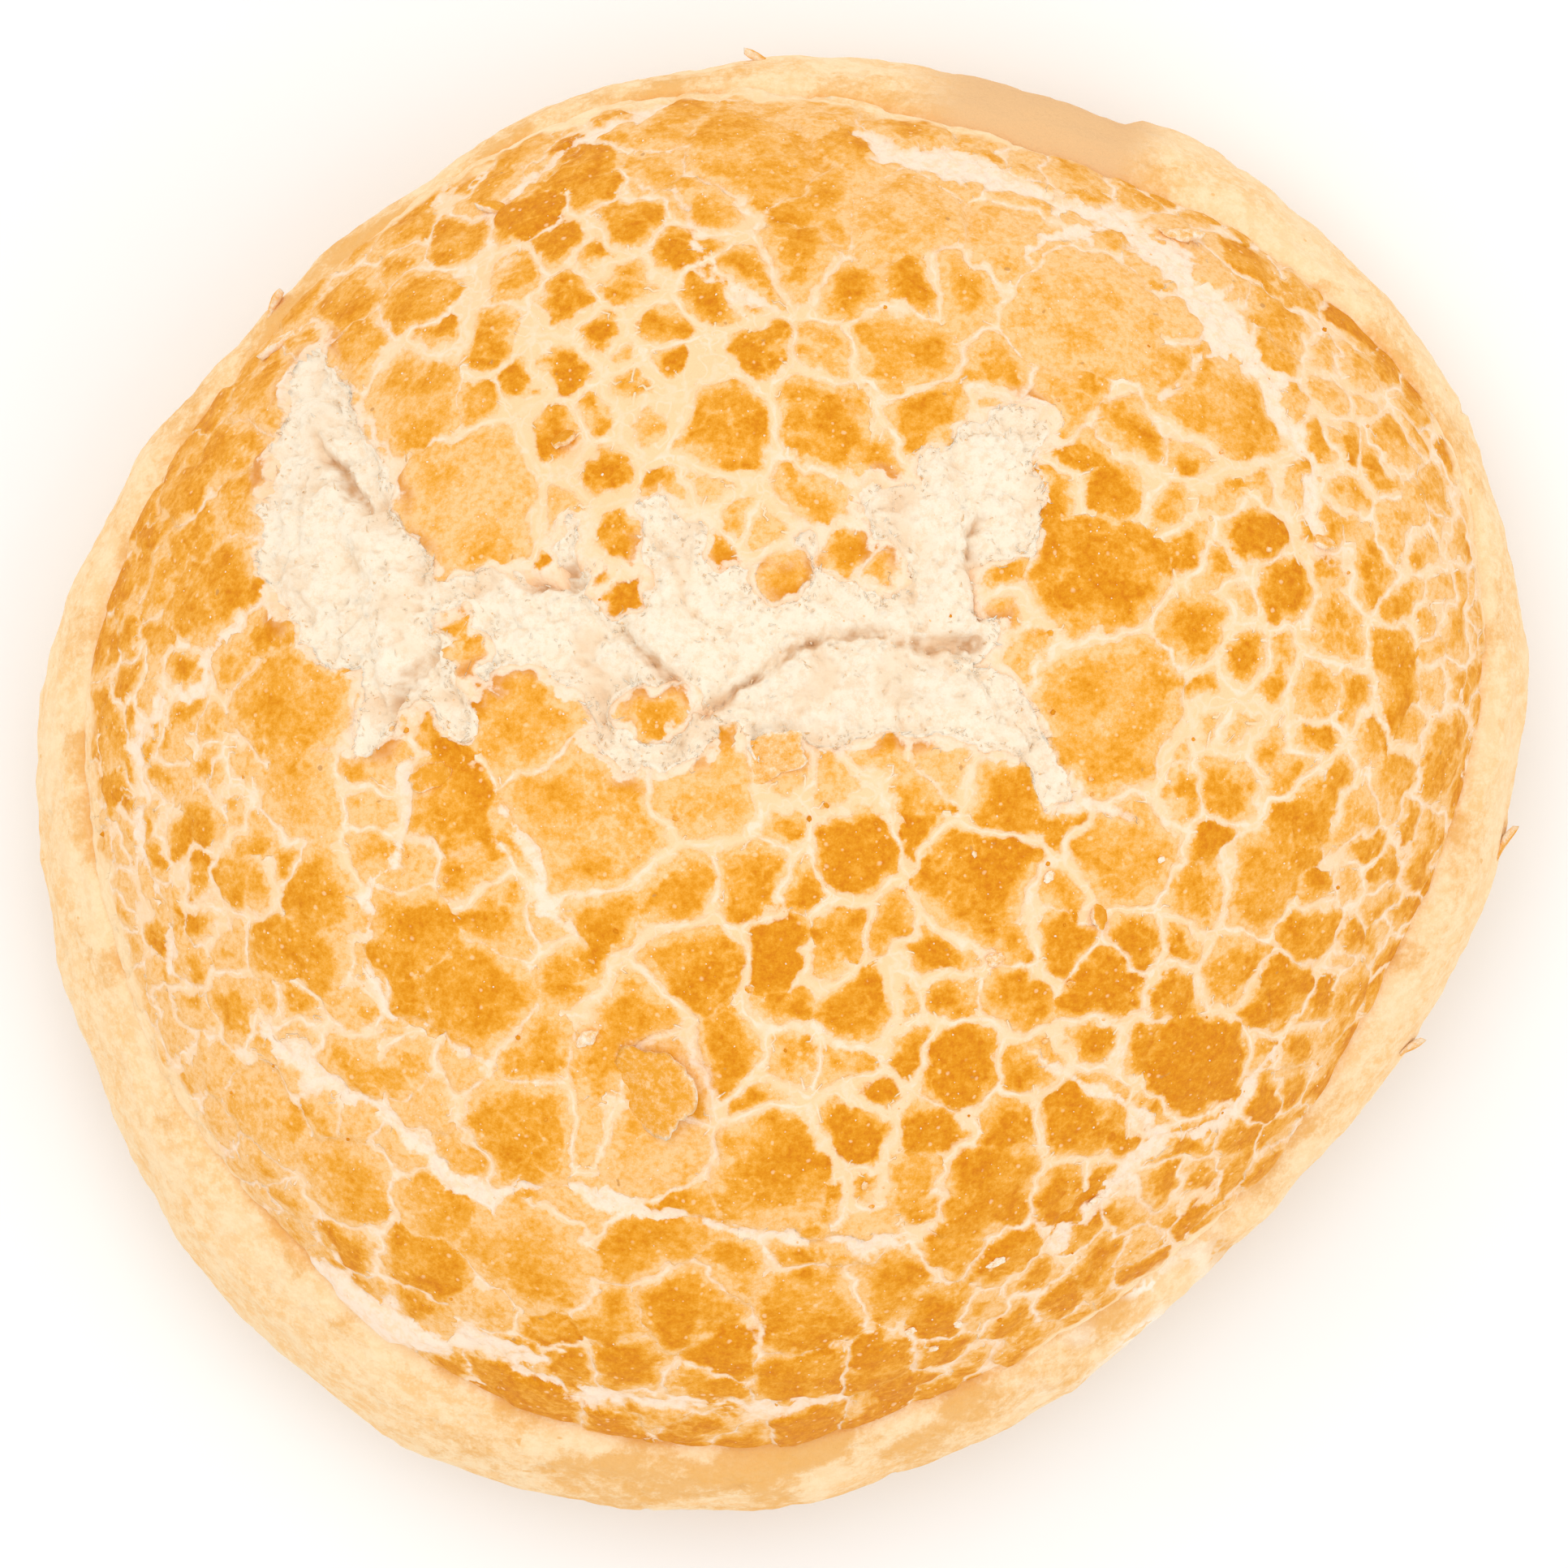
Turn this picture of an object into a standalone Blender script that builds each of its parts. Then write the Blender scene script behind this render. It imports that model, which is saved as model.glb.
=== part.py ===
"""Tiger bread roll, in metres, +Z up, standing on its flat underside.

The roll is one solid. A pale dough skirt bulges out below a domed crust, and the crust has split into
plates, cracks and wide tears that are relief in the solid. Places on the crust are given in
millimetres as seen from above, with x to the right and y to the back.
"""

import bmesh
import bpy
import numpy as np
from mathutils import Vector, noise

MM = 0.001

# Size of the whole roll
MEAN_RADIUS = 55.8 * MM
HEIGHT = 50.5 * MM
SKIRT_WIDTH = 4.0 * MM          # pale dough outside the crust, seen from above
BULGE_HEIGHT = 12.5 * MM        # where the skirt is widest
FOOT_INSET = 9.0 * MM           # how far the flat underside stays inside the outline
CRUST_EDGE_BASE = 15.0 * MM     # height of the crust's edge where the skirt has no width
CRUST_EDGE_RISE = 1.4           # rise of that edge for each unit of skirt width
DOME_FULLNESS = 2.3
DOME_SHOULDER = 0.62
DOME_OPENNESS = 0.04            # 0 drops straight down at the crust's edge, more leans outward
SHOULDER_ROUNDNESS = 1.3        # 1 is an elliptical shoulder on the skirt, more is a flatter slope

# Lobes of the outline and of the skirt's width: waves round the roll, height in mm, peak in degrees
OUTLINE_LOBES = ((1, 1.3, 132), (2, 3.3, 40), (3, 1.1, 20), (4, 0.5, 0), (5, 0.3, 27), (6, 0.25, -13))
SKIRT_LOBES = ((1, 1.5, -103), (2, 1.3, 48), (3, 0.4, -27), (4, 0.7, -21), (5, 0.5, -3), (6, 0.3, -6))

# Crease under the crust's edge: middle and spread in degrees, depth in mm
CREASE_DEPTH = 0.4 * MM
CREASES = ((318, 26, 1.6), (140, 24, 1.1), (250, 26, 1.0), (70, 16, 0.8))

# Depths of the crust's relief
TEAR_DEPTH = 1.7 * MM
CREVICE_DEPTH = 2.6 * MM
WIDE_CRACK_DEPTH = 1.1 * MM
PLATE_CRACK_DEPTH = 0.75 * MM

# How far, in mm from a stroke's edge or a crack's middle, each fades from full depth to none
TEAR_FADE = (-0.7, 0.4)
CREVICE_FADE = (-0.3, 1.4)
WIDE_CRACK_FADE = (-0.4, 0.6)
PLATE_CRACK_FADE = (0.1, 0.9)

# Unevenness: height and size of the lumps, and a shift that sets one field of lumps apart from another
EDGE_RAGGEDNESS = 0.7
EDGE_LUMPS = (3.2 * MM, 3.0)
EDGE_LUMPS_ACROSS = (3.2 * MM, 9.0)
SURFACE_UNEVENNESS = 0.7 * MM
SURFACE_LUMPS = (17.0 * MM, 21.0)
TEAR_UNEVENNESS = 0.8 * MM
TEAR_LUMPS = (3.6 * MM, 33.0)
SKIRT_UNEVENNESS = 0.5 * MM
SKIRT_LUMPS = (9.0 * MM, 50.0)

# Tears: strokes of torn crumb, each point x, y and half width in mm
TEARS = (
    ((-35.6, 31.7, 0.7), (-36.3, 27.5, 1.2), (-36.6, 23.5, 2.0), (-36.0, 20.0, 3.8), (-34.0, 16.5, 4.6),
     (-30.5, 13.5, 3.6), (-28.5, 10.0, 2.3), (-30.0, 6.0, 1.2), (-31.0, 2.5, 0.5)),
    ((-28.5, 13.0, 2.2), (-26.0, 12.3, 1.4), (-22.5, 13.0, 1.6), (-19.0, 12.0, 2.4), (-15.5, 11.2, 3.0),
     (-12.0, 11.0, 3.4), (-8.0, 12.0, 4.8), (-4.0, 10.5, 4.8), (0.5, 10.0, 3.8), (5.5, 10.5, 3.8),
     (9.5, 11.5, 4.2), (13.0, 13.0, 3.2), (13.5, 16.5, 2.6), (13.0, 20.0, 2.4), (12.5, 23.0, 1.4)),
    ((-26.0, 12.0, 1.3), (-26.8, 8.5, 1.6), (-26.5, 5.5, 1.4), (-28.5, 2.5, 0.8)),
    ((-22.0, 11.0, 1.8), (-21.5, 8.8, 1.6), (-17.0, 8.8, 1.0)),
    ((-7.5, 15.0, 2.2), (-7.5, 18.0, 1.2)),
    ((-8.0, 8.5, 2.5), (-3.0, 6.5, 2.6), (2.0, 6.3, 3.2), (7.0, 6.8, 3.0), (11.5, 6.5, 2.8),
     (15.5, 5.5, 2.4), (17.8, 3.0, 1.8), (20.5, 0.0, 0.7)),
    ((-2.0, 5.0, 1.8), (-1.0, 2.3, 0.7)),
    ((14.5, 21.5, 2.2), (16.0, 25.5, 2.2), (17.8, 27.0, 1.8)),
    ((16.0, 24.0, 2.5), (17.2, 20.5, 2.0), (16.5, 17.8, 1.2)),
)

# Patches of crust left standing in the tears: x, y and radius in mm
ISLANDS = ((-24.0, 10.2, 1.5), (-12.6, 16.8, 2.0), (-12.2, 14.8, 1.5), (-9.6, 5.0, 2.2), (16.6, 14.8, 2.2))

# Crevices between folds of crumb: points x, y and half width in mm
CREVICES = (
    ((-5.9, 5.3, 0.5), (-2.2, 8.3, 0.6), (2.1, 10.8, 0.6), (5.8, 11.7, 0.6), (8.8, 10.5, 0.6), (14.0, 10.5, 0.8)),
    ((-19.5, 15.9, 0.6), (-17.5, 15.7, 0.8), (-15.1, 15.2, 0.5)),
    ((-34.7, 24.9, 0.7), (-33.3, 22.8, 0.9), (-32.6, 20.5, 0.5)),
    ((-29.8, 5.9, 0.5), (-27.5, 8.6, 0.6), (-26.1, 10.4, 0.4)),
    ((14.4, 20.0, 0.4), (14.4, 16.0, 0.6), (14.4, 12.6, 0.4)),
    ((-13.9, 9.6, 0.4), (-10.2, 7.1, 0.5)),
)

# Wide cracks between parts of the crust: points x, y and half width in mm
WIDE_CRACKS = (
    ((-28.3, 1.0, 0.7), (-29.2, -5.8, 0.6), (-31.7, -8.8, 0.6), (-30.4, -16.8, 0.6), (-22.5, -21.1, 0.5)),
    ((-21.2, -1.5, 0.6), (-18.2, -7.6, 0.6), (-15.7, -11.3, 0.5)),
    ((-39.0, -18.3, 0.8), (-35.3, -22.3, 0.9), (-29.8, -24.8, 0.8), (-26.1, -29.1, 1.0), (-22.5, -31.5, 1.2),
     (-20.0, -30.3, 0.7), (-15.1, -30.3, 0.7), (-12.6, -32.1, 1.0), (-6.5, -32.8, 0.7), (-1.6, -34.0, 0.7),
     (5.8, -34.6, 0.8), (10.1, -34.0, 0.6)),
    ((6.4, 50.1, 0.6), (13.1, 47.0, 1.2), (16.2, 44.5, 1.0), (25.4, 42.1, 0.9), (29.7, 40.2, 1.3),
     (32.8, 36.6, 1.4), (36.4, 31.7, 1.0), (38.9, 27.4, 0.9), (40.7, 20.0, 0.8), (41.3, 16.9, 0.7)),
    ((18.0, -19.9, 0.7), (28.5, -26.3, 0.8), (34.0, -25.4, 0.8), (37.1, -19.9, 0.7)),
    ((28.5, -26.6, 0.8), (25.4, -30.9, 0.8), (21.1, -34.6, 1.3)),
    ((-36.6, -35.8, 0.9), (-33.0, -38.0, 1.6), (-29.0, -40.3, 1.7), (-22.5, -42.6, 0.8), (-16.3, -47.5, 0.8),
     (-6.0, -49.4, 0.7), (4.5, -49.8, 0.9)),
    ((-11.4, 46.1, 0.5), (-7.1, 43.3, 0.6), (-5.9, 38.4, 0.5), (-0.4, 35.6, 0.5)),
    ((-41.0, 12.5, 0.6), (-44.5, 8.0, 0.6), (-48.5, 5.0, 0.6), (-49.0, -2.0, 0.6), (-46.5, -13.5, 0.6)),
    ((-20.4, 45.3, 0.6), (-12.9, 50.6, 0.6), (-7.2, 53.4, 0.7), (2.0, 53.0, 0.8)),
)

# The large plates of the crust: x, y and radius in mm
LARGE_PLATES = (
    (-23.7, 21.2, 6.0), (-28.0, 29.2, 4.4), (-4.0, 26.7, 3.6), (2.2, 26.9, 3.6), (8.8, 32.3, 3.6),
    (22.5, 36.0, 6.0), (32.8, 28.6, 5.0), (24.5, 5.3, 6.3), (23.6, 15.1, 4.8), (-37.2, 5.9, 5.0),
    (-36.3, -0.6, 3.6), (-15.4, -2.7, 6.0), (-5.3, 0.4, 4.0), (5.2, -4.5, 3.6), (14.4, -7.3, 5.0),
    (17.4, -1.2, 3.3), (31.5, -21.1, 4.8), (25.4, -5.2, 4.2), (36.4, -7.0, 4.4), (-19.4, -36.0, 4.8),
    (-0.4, -28.5, 4.6), (15.6, -30.3, 4.5), (8.2, -37.8, 3.2), (2.1, -40.0, 3.8), (-7.7, -39.5, 3.6),
    (-27.4, -36.4, 3.0), (-10.2, -27.6, 3.4), (-19.4, -26.0, 4.6), (-19.4, 4.6, 4.0), (-25.5, -2.0, 3.0),
    (-2.2, 48.0, 5.4), (17.4, 40.6, 4.0), (9.0, 43.0, 4.6), (-23.5, -15.6, 4.6), (-28.0, -11.3, 3.6),
    (-6.5, -13.1, 3.4), (-0.4, -12.5, 2.6), (5.2, -25.4, 3.2), (22.3, -25.4, 4.2), (5.8, -16.8, 3.0),
    (13.1, -21.1, 3.0), (24.0, -15.0, 3.2), (-32.9, -30.0, 4.4), (-39.0, -25.0, 3.4), (-43.5, 14.0, 4.2),
)
SMALL_PLATE_SPACING = 5.6
SMALL_PLATE_RADIUS = 2.6
SMALL_PLATE_TRIES = 5000
SMALL_PLATE_SEED = 11
DART_REACH = 74.0

# The fold of dough skin at the back right of the skirt
FOLD_ANGLE = 62
FOLD_SPREAD = 26
FOLD_STEP = 0.9 * MM

# Tilt from straight up, in degrees, at which the crust, and then the skirt, end
CRUST_END = 84.0
SKIRT_END = 132.0
RELIEF_MARGIN = 1.5
RELIEF_CENTRE_HEIGHT = 10.0 * MM

SPHERE_DIVISIONS = 8
FACE_LIMIT = 11000
FLAT_TOLERANCE = 0.12 * MM


def smooth(low, high, value):
    """Rises from 0 at low to 1 at high, with level ends."""
    share = np.clip((value - low) / (high - low), 0.0, 1.0)
    return share * share * (3.0 - 2.0 * share)


def lobed(angle, lobes):
    """Adds up the lobes at each angle, in metres."""
    total = np.zeros_like(angle)
    for waves, height, peak in lobes:
        total += height * MM * np.cos(waves * (angle - np.radians(peak)))
    return total


def lumps(x, y, z, field):
    """Smooth noise between about -1 and 1, for a field given by its lumps' size and its shift."""
    size, shift = field
    places = zip(x / size + shift, y / size, z / size)
    return np.array([noise.noise(Vector(place)) for place in places])


def turn_away(angle, middle, spread):
    """1 at the middle angle, falling to 0 over the spread, both in degrees."""
    turn = (np.degrees(angle) - middle + 180.0) % 360.0 - 180.0
    return np.exp(-((turn / spread) ** 2))


def outline(angle):
    """Distance from the axis to the roll's outline."""
    return MEAN_RADIUS + lobed(angle, OUTLINE_LOBES)


def skirt_width(angle):
    """Width of the pale skirt outside the crust, seen from above."""
    return np.maximum(SKIRT_WIDTH + lobed(angle, SKIRT_LOBES), 0.5 * MM)


def crease_depth(angle):
    """Drop from the crust's edge to the skirt under it."""
    depth = np.full_like(angle, CREASE_DEPTH)
    for middle, spread, height in CREASES:
        depth += height * MM * turn_away(angle, middle, spread)
    return depth


def fold_step(angle):
    """Step out of the skirt at its fold, which dies away past the fold."""
    turn = (FOLD_ANGLE - np.degrees(angle) + 180.0) % 360.0 - 180.0
    return FOLD_STEP * smooth(-2.0, 1.0, turn) * (1.0 - smooth(0.0, FOLD_SPREAD, turn))


def dome_rise(out):
    """Height of the dome as a share, 1 in the middle and 0 at the crust's edge."""
    full = (1.0 - (1.0 - DOME_OPENNESS) * out ** DOME_FULLNESS) ** DOME_SHOULDER
    least = DOME_OPENNESS ** DOME_SHOULDER
    return (full - least) / (1.0 - least)


def dome(angle, share):
    """Crust from its top, share 0, to its edge, share 1, as radius and height."""
    width = skirt_width(angle)
    edge_radius = outline(angle) - width
    edge_height = CRUST_EDGE_BASE + CRUST_EDGE_RISE * width
    out = np.sin(share * np.pi / 2)
    return edge_radius * out, edge_height + (HEIGHT - edge_height) * dome_rise(out)


def skirt(angle, share):
    """Skirt from the crust's edge, share 0, out over the bulge and in to the foot, share 1."""
    width = skirt_width(angle)
    edge_radius = outline(angle) - width
    edge_height = CRUST_EDGE_BASE + CRUST_EDGE_RISE * width - crease_depth(angle)
    out = outline(angle) + fold_step(angle)
    foot = outline(angle) - FOOT_INSET
    across = np.sin(share * np.pi)
    up = np.cos(share * np.pi)
    upper_radius = edge_radius + (out - edge_radius) * across ** SHOULDER_ROUNDNESS
    upper_height = BULGE_HEIGHT + (edge_height - BULGE_HEIGHT) * np.abs(up) ** SHOULDER_ROUNDNESS
    lower_radius = foot + (out - foot) * across
    lower_height = BULGE_HEIGHT * (1.0 + up)
    upper = share < 0.5
    return np.where(upper, upper_radius, lower_radius), np.where(upper, upper_height, lower_height)


def skirt_share(tilt):
    """How far down the skirt a tilt is, from 0 at the crust's edge to 1 at the foot."""
    return np.clip((tilt - CRUST_END) / (SKIRT_END - CRUST_END), 0.0, 1.0)


def roll_form(angle, tilt):
    """Radius and height of the bare roll at a turn round the axis and a tilt from straight up."""
    radius, height = dome(angle, np.clip(tilt / CRUST_END, 0.0, 1.0))
    skirt_radius, skirt_height = skirt(angle, skirt_share(tilt))
    under = (outline(angle) - FOOT_INSET) * (180.0 - tilt) / (180.0 - SKIRT_END)
    on_skirt = tilt > CRUST_END
    on_foot = tilt > SKIRT_END
    radius = np.where(on_foot, under, np.where(on_skirt, skirt_radius, radius))
    height = np.where(on_foot, 0.0, np.where(on_skirt, skirt_height, height))
    return radius, height


def stroke_distance(x, y, stroke):
    """Distance to a stroke of changing width, negative inside it, all in mm."""
    best = np.full_like(x, 1000.0)
    for (x0, y0, w0), (x1, y1, w1) in zip(stroke[:-1], stroke[1:]):
        run_x, run_y = x1 - x0, y1 - y0
        along = ((x - x0) * run_x + (y - y0) * run_y) / (run_x ** 2 + run_y ** 2)
        along = np.clip(along, 0.0, 1.0)
        away = np.hypot(x - x0 - along * run_x, y - y0 - along * run_y)
        best = np.minimum(best, away - (w0 + (w1 - w0) * along))
    return best


def strokes_distance(x, y, strokes):
    """Distance to the nearest of several strokes."""
    return np.min([stroke_distance(x, y, stroke) for stroke in strokes], axis=0)


def crust_radius_at(x, y):
    """Radius of the crust's edge in mm, in the direction of a place."""
    angle = np.arctan2(y, x)
    return (outline(angle) - skirt_width(angle)) / MM


def unroll(x, y):
    """Turns a place seen from above, in mm, into one on the dome rolled out flat."""
    width = SKIRT_WIDTH
    drop = HEIGHT - CRUST_EDGE_BASE - CRUST_EDGE_RISE * width
    share = np.sin(np.linspace(0.0, np.pi / 2, 200))
    steps = np.hypot(np.diff(share) * (MEAN_RADIUS - width), np.diff(drop * dome_rise(share))) / MM
    length = np.concatenate([[0.0], np.cumsum(steps)])
    radius = np.maximum(np.hypot(x, y), 0.001)
    stretch = np.interp(radius / crust_radius_at(x, y), share, length) / radius
    return x * stretch, y * stretch


def all_plates():
    """The large plates and, by seeded darts that keep apart, smaller ones between them, rolled out."""
    draw = np.random.default_rng(SMALL_PLATE_SEED)
    plates = [(*unroll(x, y), radius) for x, y, radius in LARGE_PLATES]
    for x, y in draw.uniform(-DART_REACH, DART_REACH, (SMALL_PLATE_TRIES, 2)):
        gaps = [np.hypot(x - px, y - py) - radius for px, py, radius in plates]
        if np.hypot(x, y) < DART_REACH and min(gaps) > SMALL_PLATE_SPACING - SMALL_PLATE_RADIUS:
            plates.append((x, y, SMALL_PLATE_RADIUS))
    return np.array(plates)


def crack_distance(x, y, plates):
    """Distance to the nearest crack between two plates, in mm, as a power diagram of the plates."""
    distances = np.empty_like(x)
    for block in np.array_split(np.arange(len(x)), 60):
        gap_x = x[block, None] - plates[None, :, 0]
        gap_y = y[block, None] - plates[None, :, 1]
        power = gap_x ** 2 + gap_y ** 2 - plates[None, :, 2] ** 2
        nearest = np.argpartition(power, 1, axis=1)[:, :2]
        rows = np.arange(len(block))
        first, second = nearest[:, 0], nearest[:, 1]
        between = np.hypot(plates[first, 0] - plates[second, 0], plates[first, 1] - plates[second, 1])
        distances[block] = np.abs(power[rows, second] - power[rows, first]) / (2.0 * between)
    return distances


def island_distance(x, y):
    """Distance to the nearest patch of crust that stands in a tear."""
    return np.min([np.hypot(x - px, y - py) - radius for px, py, radius in ISLANDS], axis=0)


def crust_relief(x, y, z):
    """Height of the tears, cracks and lumps above the bare crust, for places given in metres."""
    mm_x = x / MM + EDGE_RAGGEDNESS * lumps(x, y, z, EDGE_LUMPS)
    mm_y = y / MM + EDGE_RAGGEDNESS * lumps(x, y, z, EDGE_LUMPS_ACROSS)
    tear = np.maximum(strokes_distance(mm_x, mm_y, TEARS), -island_distance(mm_x, mm_y))
    plate_gap = crack_distance(*unroll(mm_x, mm_y), all_plates())
    in_tear = 1.0 - smooth(*TEAR_FADE, tear)
    in_wide = 1.0 - smooth(*WIDE_CRACK_FADE, strokes_distance(mm_x, mm_y, WIDE_CRACKS))
    in_crevice = 1.0 - smooth(*CREVICE_FADE, strokes_distance(mm_x, mm_y, CREVICES))
    in_crack = 1.0 - smooth(*PLATE_CRACK_FADE, plate_gap)
    relief = SURFACE_UNEVENNESS * lumps(x, y, z, SURFACE_LUMPS)
    relief -= PLATE_CRACK_DEPTH * in_crack * (1.0 - in_tear) * (1.0 - in_wide)
    relief -= WIDE_CRACK_DEPTH * in_wide * (1.0 - in_tear)
    relief -= in_tear * (TEAR_DEPTH - TEAR_UNEVENNESS * lumps(x, y, z, TEAR_LUMPS))
    relief -= CREVICE_DEPTH * in_crevice
    return relief


def shape_points(directions):
    """Moves the points of a unit sphere onto the roll with its relief."""
    angle = np.arctan2(directions[:, 1], directions[:, 0])
    tilt = np.degrees(np.arccos(np.clip(directions[:, 2], -1.0, 1.0)))
    radius, height = roll_form(angle, tilt)
    x, y = radius * np.cos(angle), radius * np.sin(angle)
    on_crust = 1.0 - smooth(CRUST_END - RELIEF_MARGIN, CRUST_END, tilt)
    on_skirt = np.sin(skirt_share(tilt) * np.pi)
    relief = on_crust * crust_relief(x, y, height)
    relief += on_skirt * SKIRT_UNEVENNESS * lumps(x, y, height, SKIRT_LUMPS)
    points = np.stack([x, y, height], axis=1)
    outward = points - (0.0, 0.0, RELIEF_CENTRE_HEIGHT)
    outward /= np.linalg.norm(outward, axis=1)[:, None]
    points += outward * relief[:, None]
    points[tilt > SKIRT_END, 2] = 0.0
    return points


def fine_roll_mesh():
    """Icosphere drawn out into the roll, with far more faces than the finished solid."""
    shape = bmesh.new()
    bmesh.ops.create_icosphere(shape, subdivisions=SPHERE_DIVISIONS, radius=1.0)
    mesh = bpy.data.meshes.new("bread_roll_fine")
    shape.to_mesh(mesh)
    shape.free()
    directions = np.empty(len(mesh.vertices) * 3)
    mesh.vertices.foreach_get("co", directions)
    points = shape_points(directions.reshape(-1, 3).astype(float))
    mesh.vertices.foreach_set("co", points.ravel())
    mesh.update()
    return mesh


def reduce_faces(fine):
    """Collapses the fine mesh to the face limit, flattens its foot and centres it on its axis."""
    helper = bpy.data.objects.new("bread_roll_fine", fine)
    bpy.context.scene.collection.objects.link(helper)
    decimate = helper.modifiers.new("fewer faces", "DECIMATE")
    decimate.ratio = FACE_LIMIT / len(fine.polygons)
    graph = bpy.context.evaluated_depsgraph_get()
    mesh = bpy.data.meshes.new_from_object(helper.evaluated_get(graph))
    bpy.data.objects.remove(helper)
    bpy.data.meshes.remove(fine)
    points = np.empty(len(mesh.vertices) * 3)
    mesh.vertices.foreach_get("co", points)
    points = points.reshape(-1, 3)
    points[points[:, 2] < FLAT_TOLERANCE, 2] = 0.0
    points[:, :2] -= (points[:, :2].min(axis=0) + points[:, :2].max(axis=0)) / 2
    mesh.vertices.foreach_set("co", points.ravel())
    mesh.update()
    return mesh


def crust_material():
    """Golden baked crust."""
    material = bpy.data.materials.new("baked crust")
    material.use_nodes = True
    shader = material.node_tree.nodes["Principled BSDF"]
    shader.inputs["Base Color"].default_value = (0.86, 0.51, 0.16, 1.0)
    shader.inputs["Roughness"].default_value = 0.62
    shader.inputs["Metallic"].default_value = 0.0
    return material


def clear_scene():
    """Removes the objects of the open scene."""
    for item in list(bpy.data.objects):
        bpy.data.objects.remove(item)


def main():
    """Builds the roll in a collection of its own."""
    clear_scene()
    collection = bpy.data.collections.new("tiger_bread_roll")
    bpy.context.scene.collection.children.link(collection)
    mesh = reduce_faces(fine_roll_mesh())
    mesh.name = "bread_roll"
    mesh.materials.append(crust_material())
    mesh.shade_smooth()
    roll = bpy.data.objects.new("bread_roll", mesh)
    collection.objects.link(roll)


main()
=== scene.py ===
import math

import bmesh
import bpy
import numpy as np
from bpy.props import FloatProperty, FloatVectorProperty, IntProperty, PointerProperty
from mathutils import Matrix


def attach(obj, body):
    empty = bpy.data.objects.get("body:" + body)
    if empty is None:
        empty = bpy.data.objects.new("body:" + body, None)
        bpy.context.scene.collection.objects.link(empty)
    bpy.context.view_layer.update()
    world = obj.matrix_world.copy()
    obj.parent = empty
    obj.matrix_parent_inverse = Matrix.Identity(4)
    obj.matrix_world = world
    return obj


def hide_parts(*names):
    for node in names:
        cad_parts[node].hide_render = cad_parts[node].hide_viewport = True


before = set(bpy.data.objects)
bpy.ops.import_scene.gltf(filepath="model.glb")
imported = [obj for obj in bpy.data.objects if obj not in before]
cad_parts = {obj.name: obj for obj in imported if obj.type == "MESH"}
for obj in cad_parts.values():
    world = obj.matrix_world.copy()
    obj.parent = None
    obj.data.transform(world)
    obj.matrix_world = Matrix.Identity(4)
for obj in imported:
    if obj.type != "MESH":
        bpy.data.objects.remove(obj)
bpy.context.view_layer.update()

bl_info = {
    "name": "Tiger Bread Roll",
    "version": (1, 0, 0),
    "blender": (4, 5, 0),
    "location": "View3D > Sidebar > Bread",
    "description": "A roll whose rice paste crust has cracked into plates and torn open over pale crumb",
    "category": "Object",
}

# Shapes are worked out in millimetres, seen from above with x to the right and y to the back
MM = 0.001
NODE = "bread_roll"
BAKE_MAP = "OFBake"
FULL_TURN = 2.0 * np.pi

# Height on the axis from which relief stands up, and how far the hidden skins lie under the dome, in mm
RELIEF_CENTRE = 10.0
CRUST_SKIN = 7.0
DOUGH_SKIN = 7.6
HIDDEN_RINGS = (0.1, 0.25, 0.45, 0.65, 0.8, 0.9)
UNDERSIDE_RINGS = (0.985, 0.96, 0.92, 0.86, 0.78, 0.68, 0.56, 0.43, 0.3, 0.18, 0.08)

# Box round the tears: left, front, width and depth, and the thickness of the torn crumb under it, in mm
TEAR_BOX = (-42.0, -5.0, 68.0, 42.0)
CRUMB_THICKNESS = 2.5

# Waves that make the edges of plates and tears ragged: how far and how long, in mm
EDGE_WAVES = ((0.85, 3.8), (0.46, 1.5), (0.15, 0.7))

# Waves of a lifted flake's rim, as shares of its size: how far and how long
FLAKE_WAVES = ((0.30, 0.8), (0.14, 0.3), (0.07, 0.12))

# Distance between the rows of a mesh of even triangles, as a share of its step
ROW_SPACING = 0.866

# Puffs of torn crumb: size and height in mm
CRUMB_PUFFS = ((5.6, 1.3), (2.7, 0.65), (1.4, 0.32), (0.7, 0.17))

# Small plates: tries, distance kept and radius as shares of the spacing, and rounding of corners in mm
PLATE_TRIES = 9000
PLATE_GAP = 0.50
PLATE_RADIUS = 0.44
CORNER_ROUNDING = 0.30

# Lobes of the outline and of the skirt's width: waves round the roll, height in mm, peak in degrees
OUTLINE_LOBES = ((1, 1.3, 132), (2, 3.3, 40), (3, 1.1, 20), (4, 0.5, 0), (5, 0.3, 27), (6, 0.25, -13))
SKIRT_LOBES = ((1, 1.5, -103), (2, 1.3, 48), (3, 0.4, -27), (4, 0.7, -21), (5, 0.5, -3), (6, 0.3, -6))

# Crease under the crust's edge: middle and spread in degrees, depth in mm
CREASES = ((318, 26, 1.6), (140, 24, 1.1), (250, 26, 1.0), (70, 16, 0.8))

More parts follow.
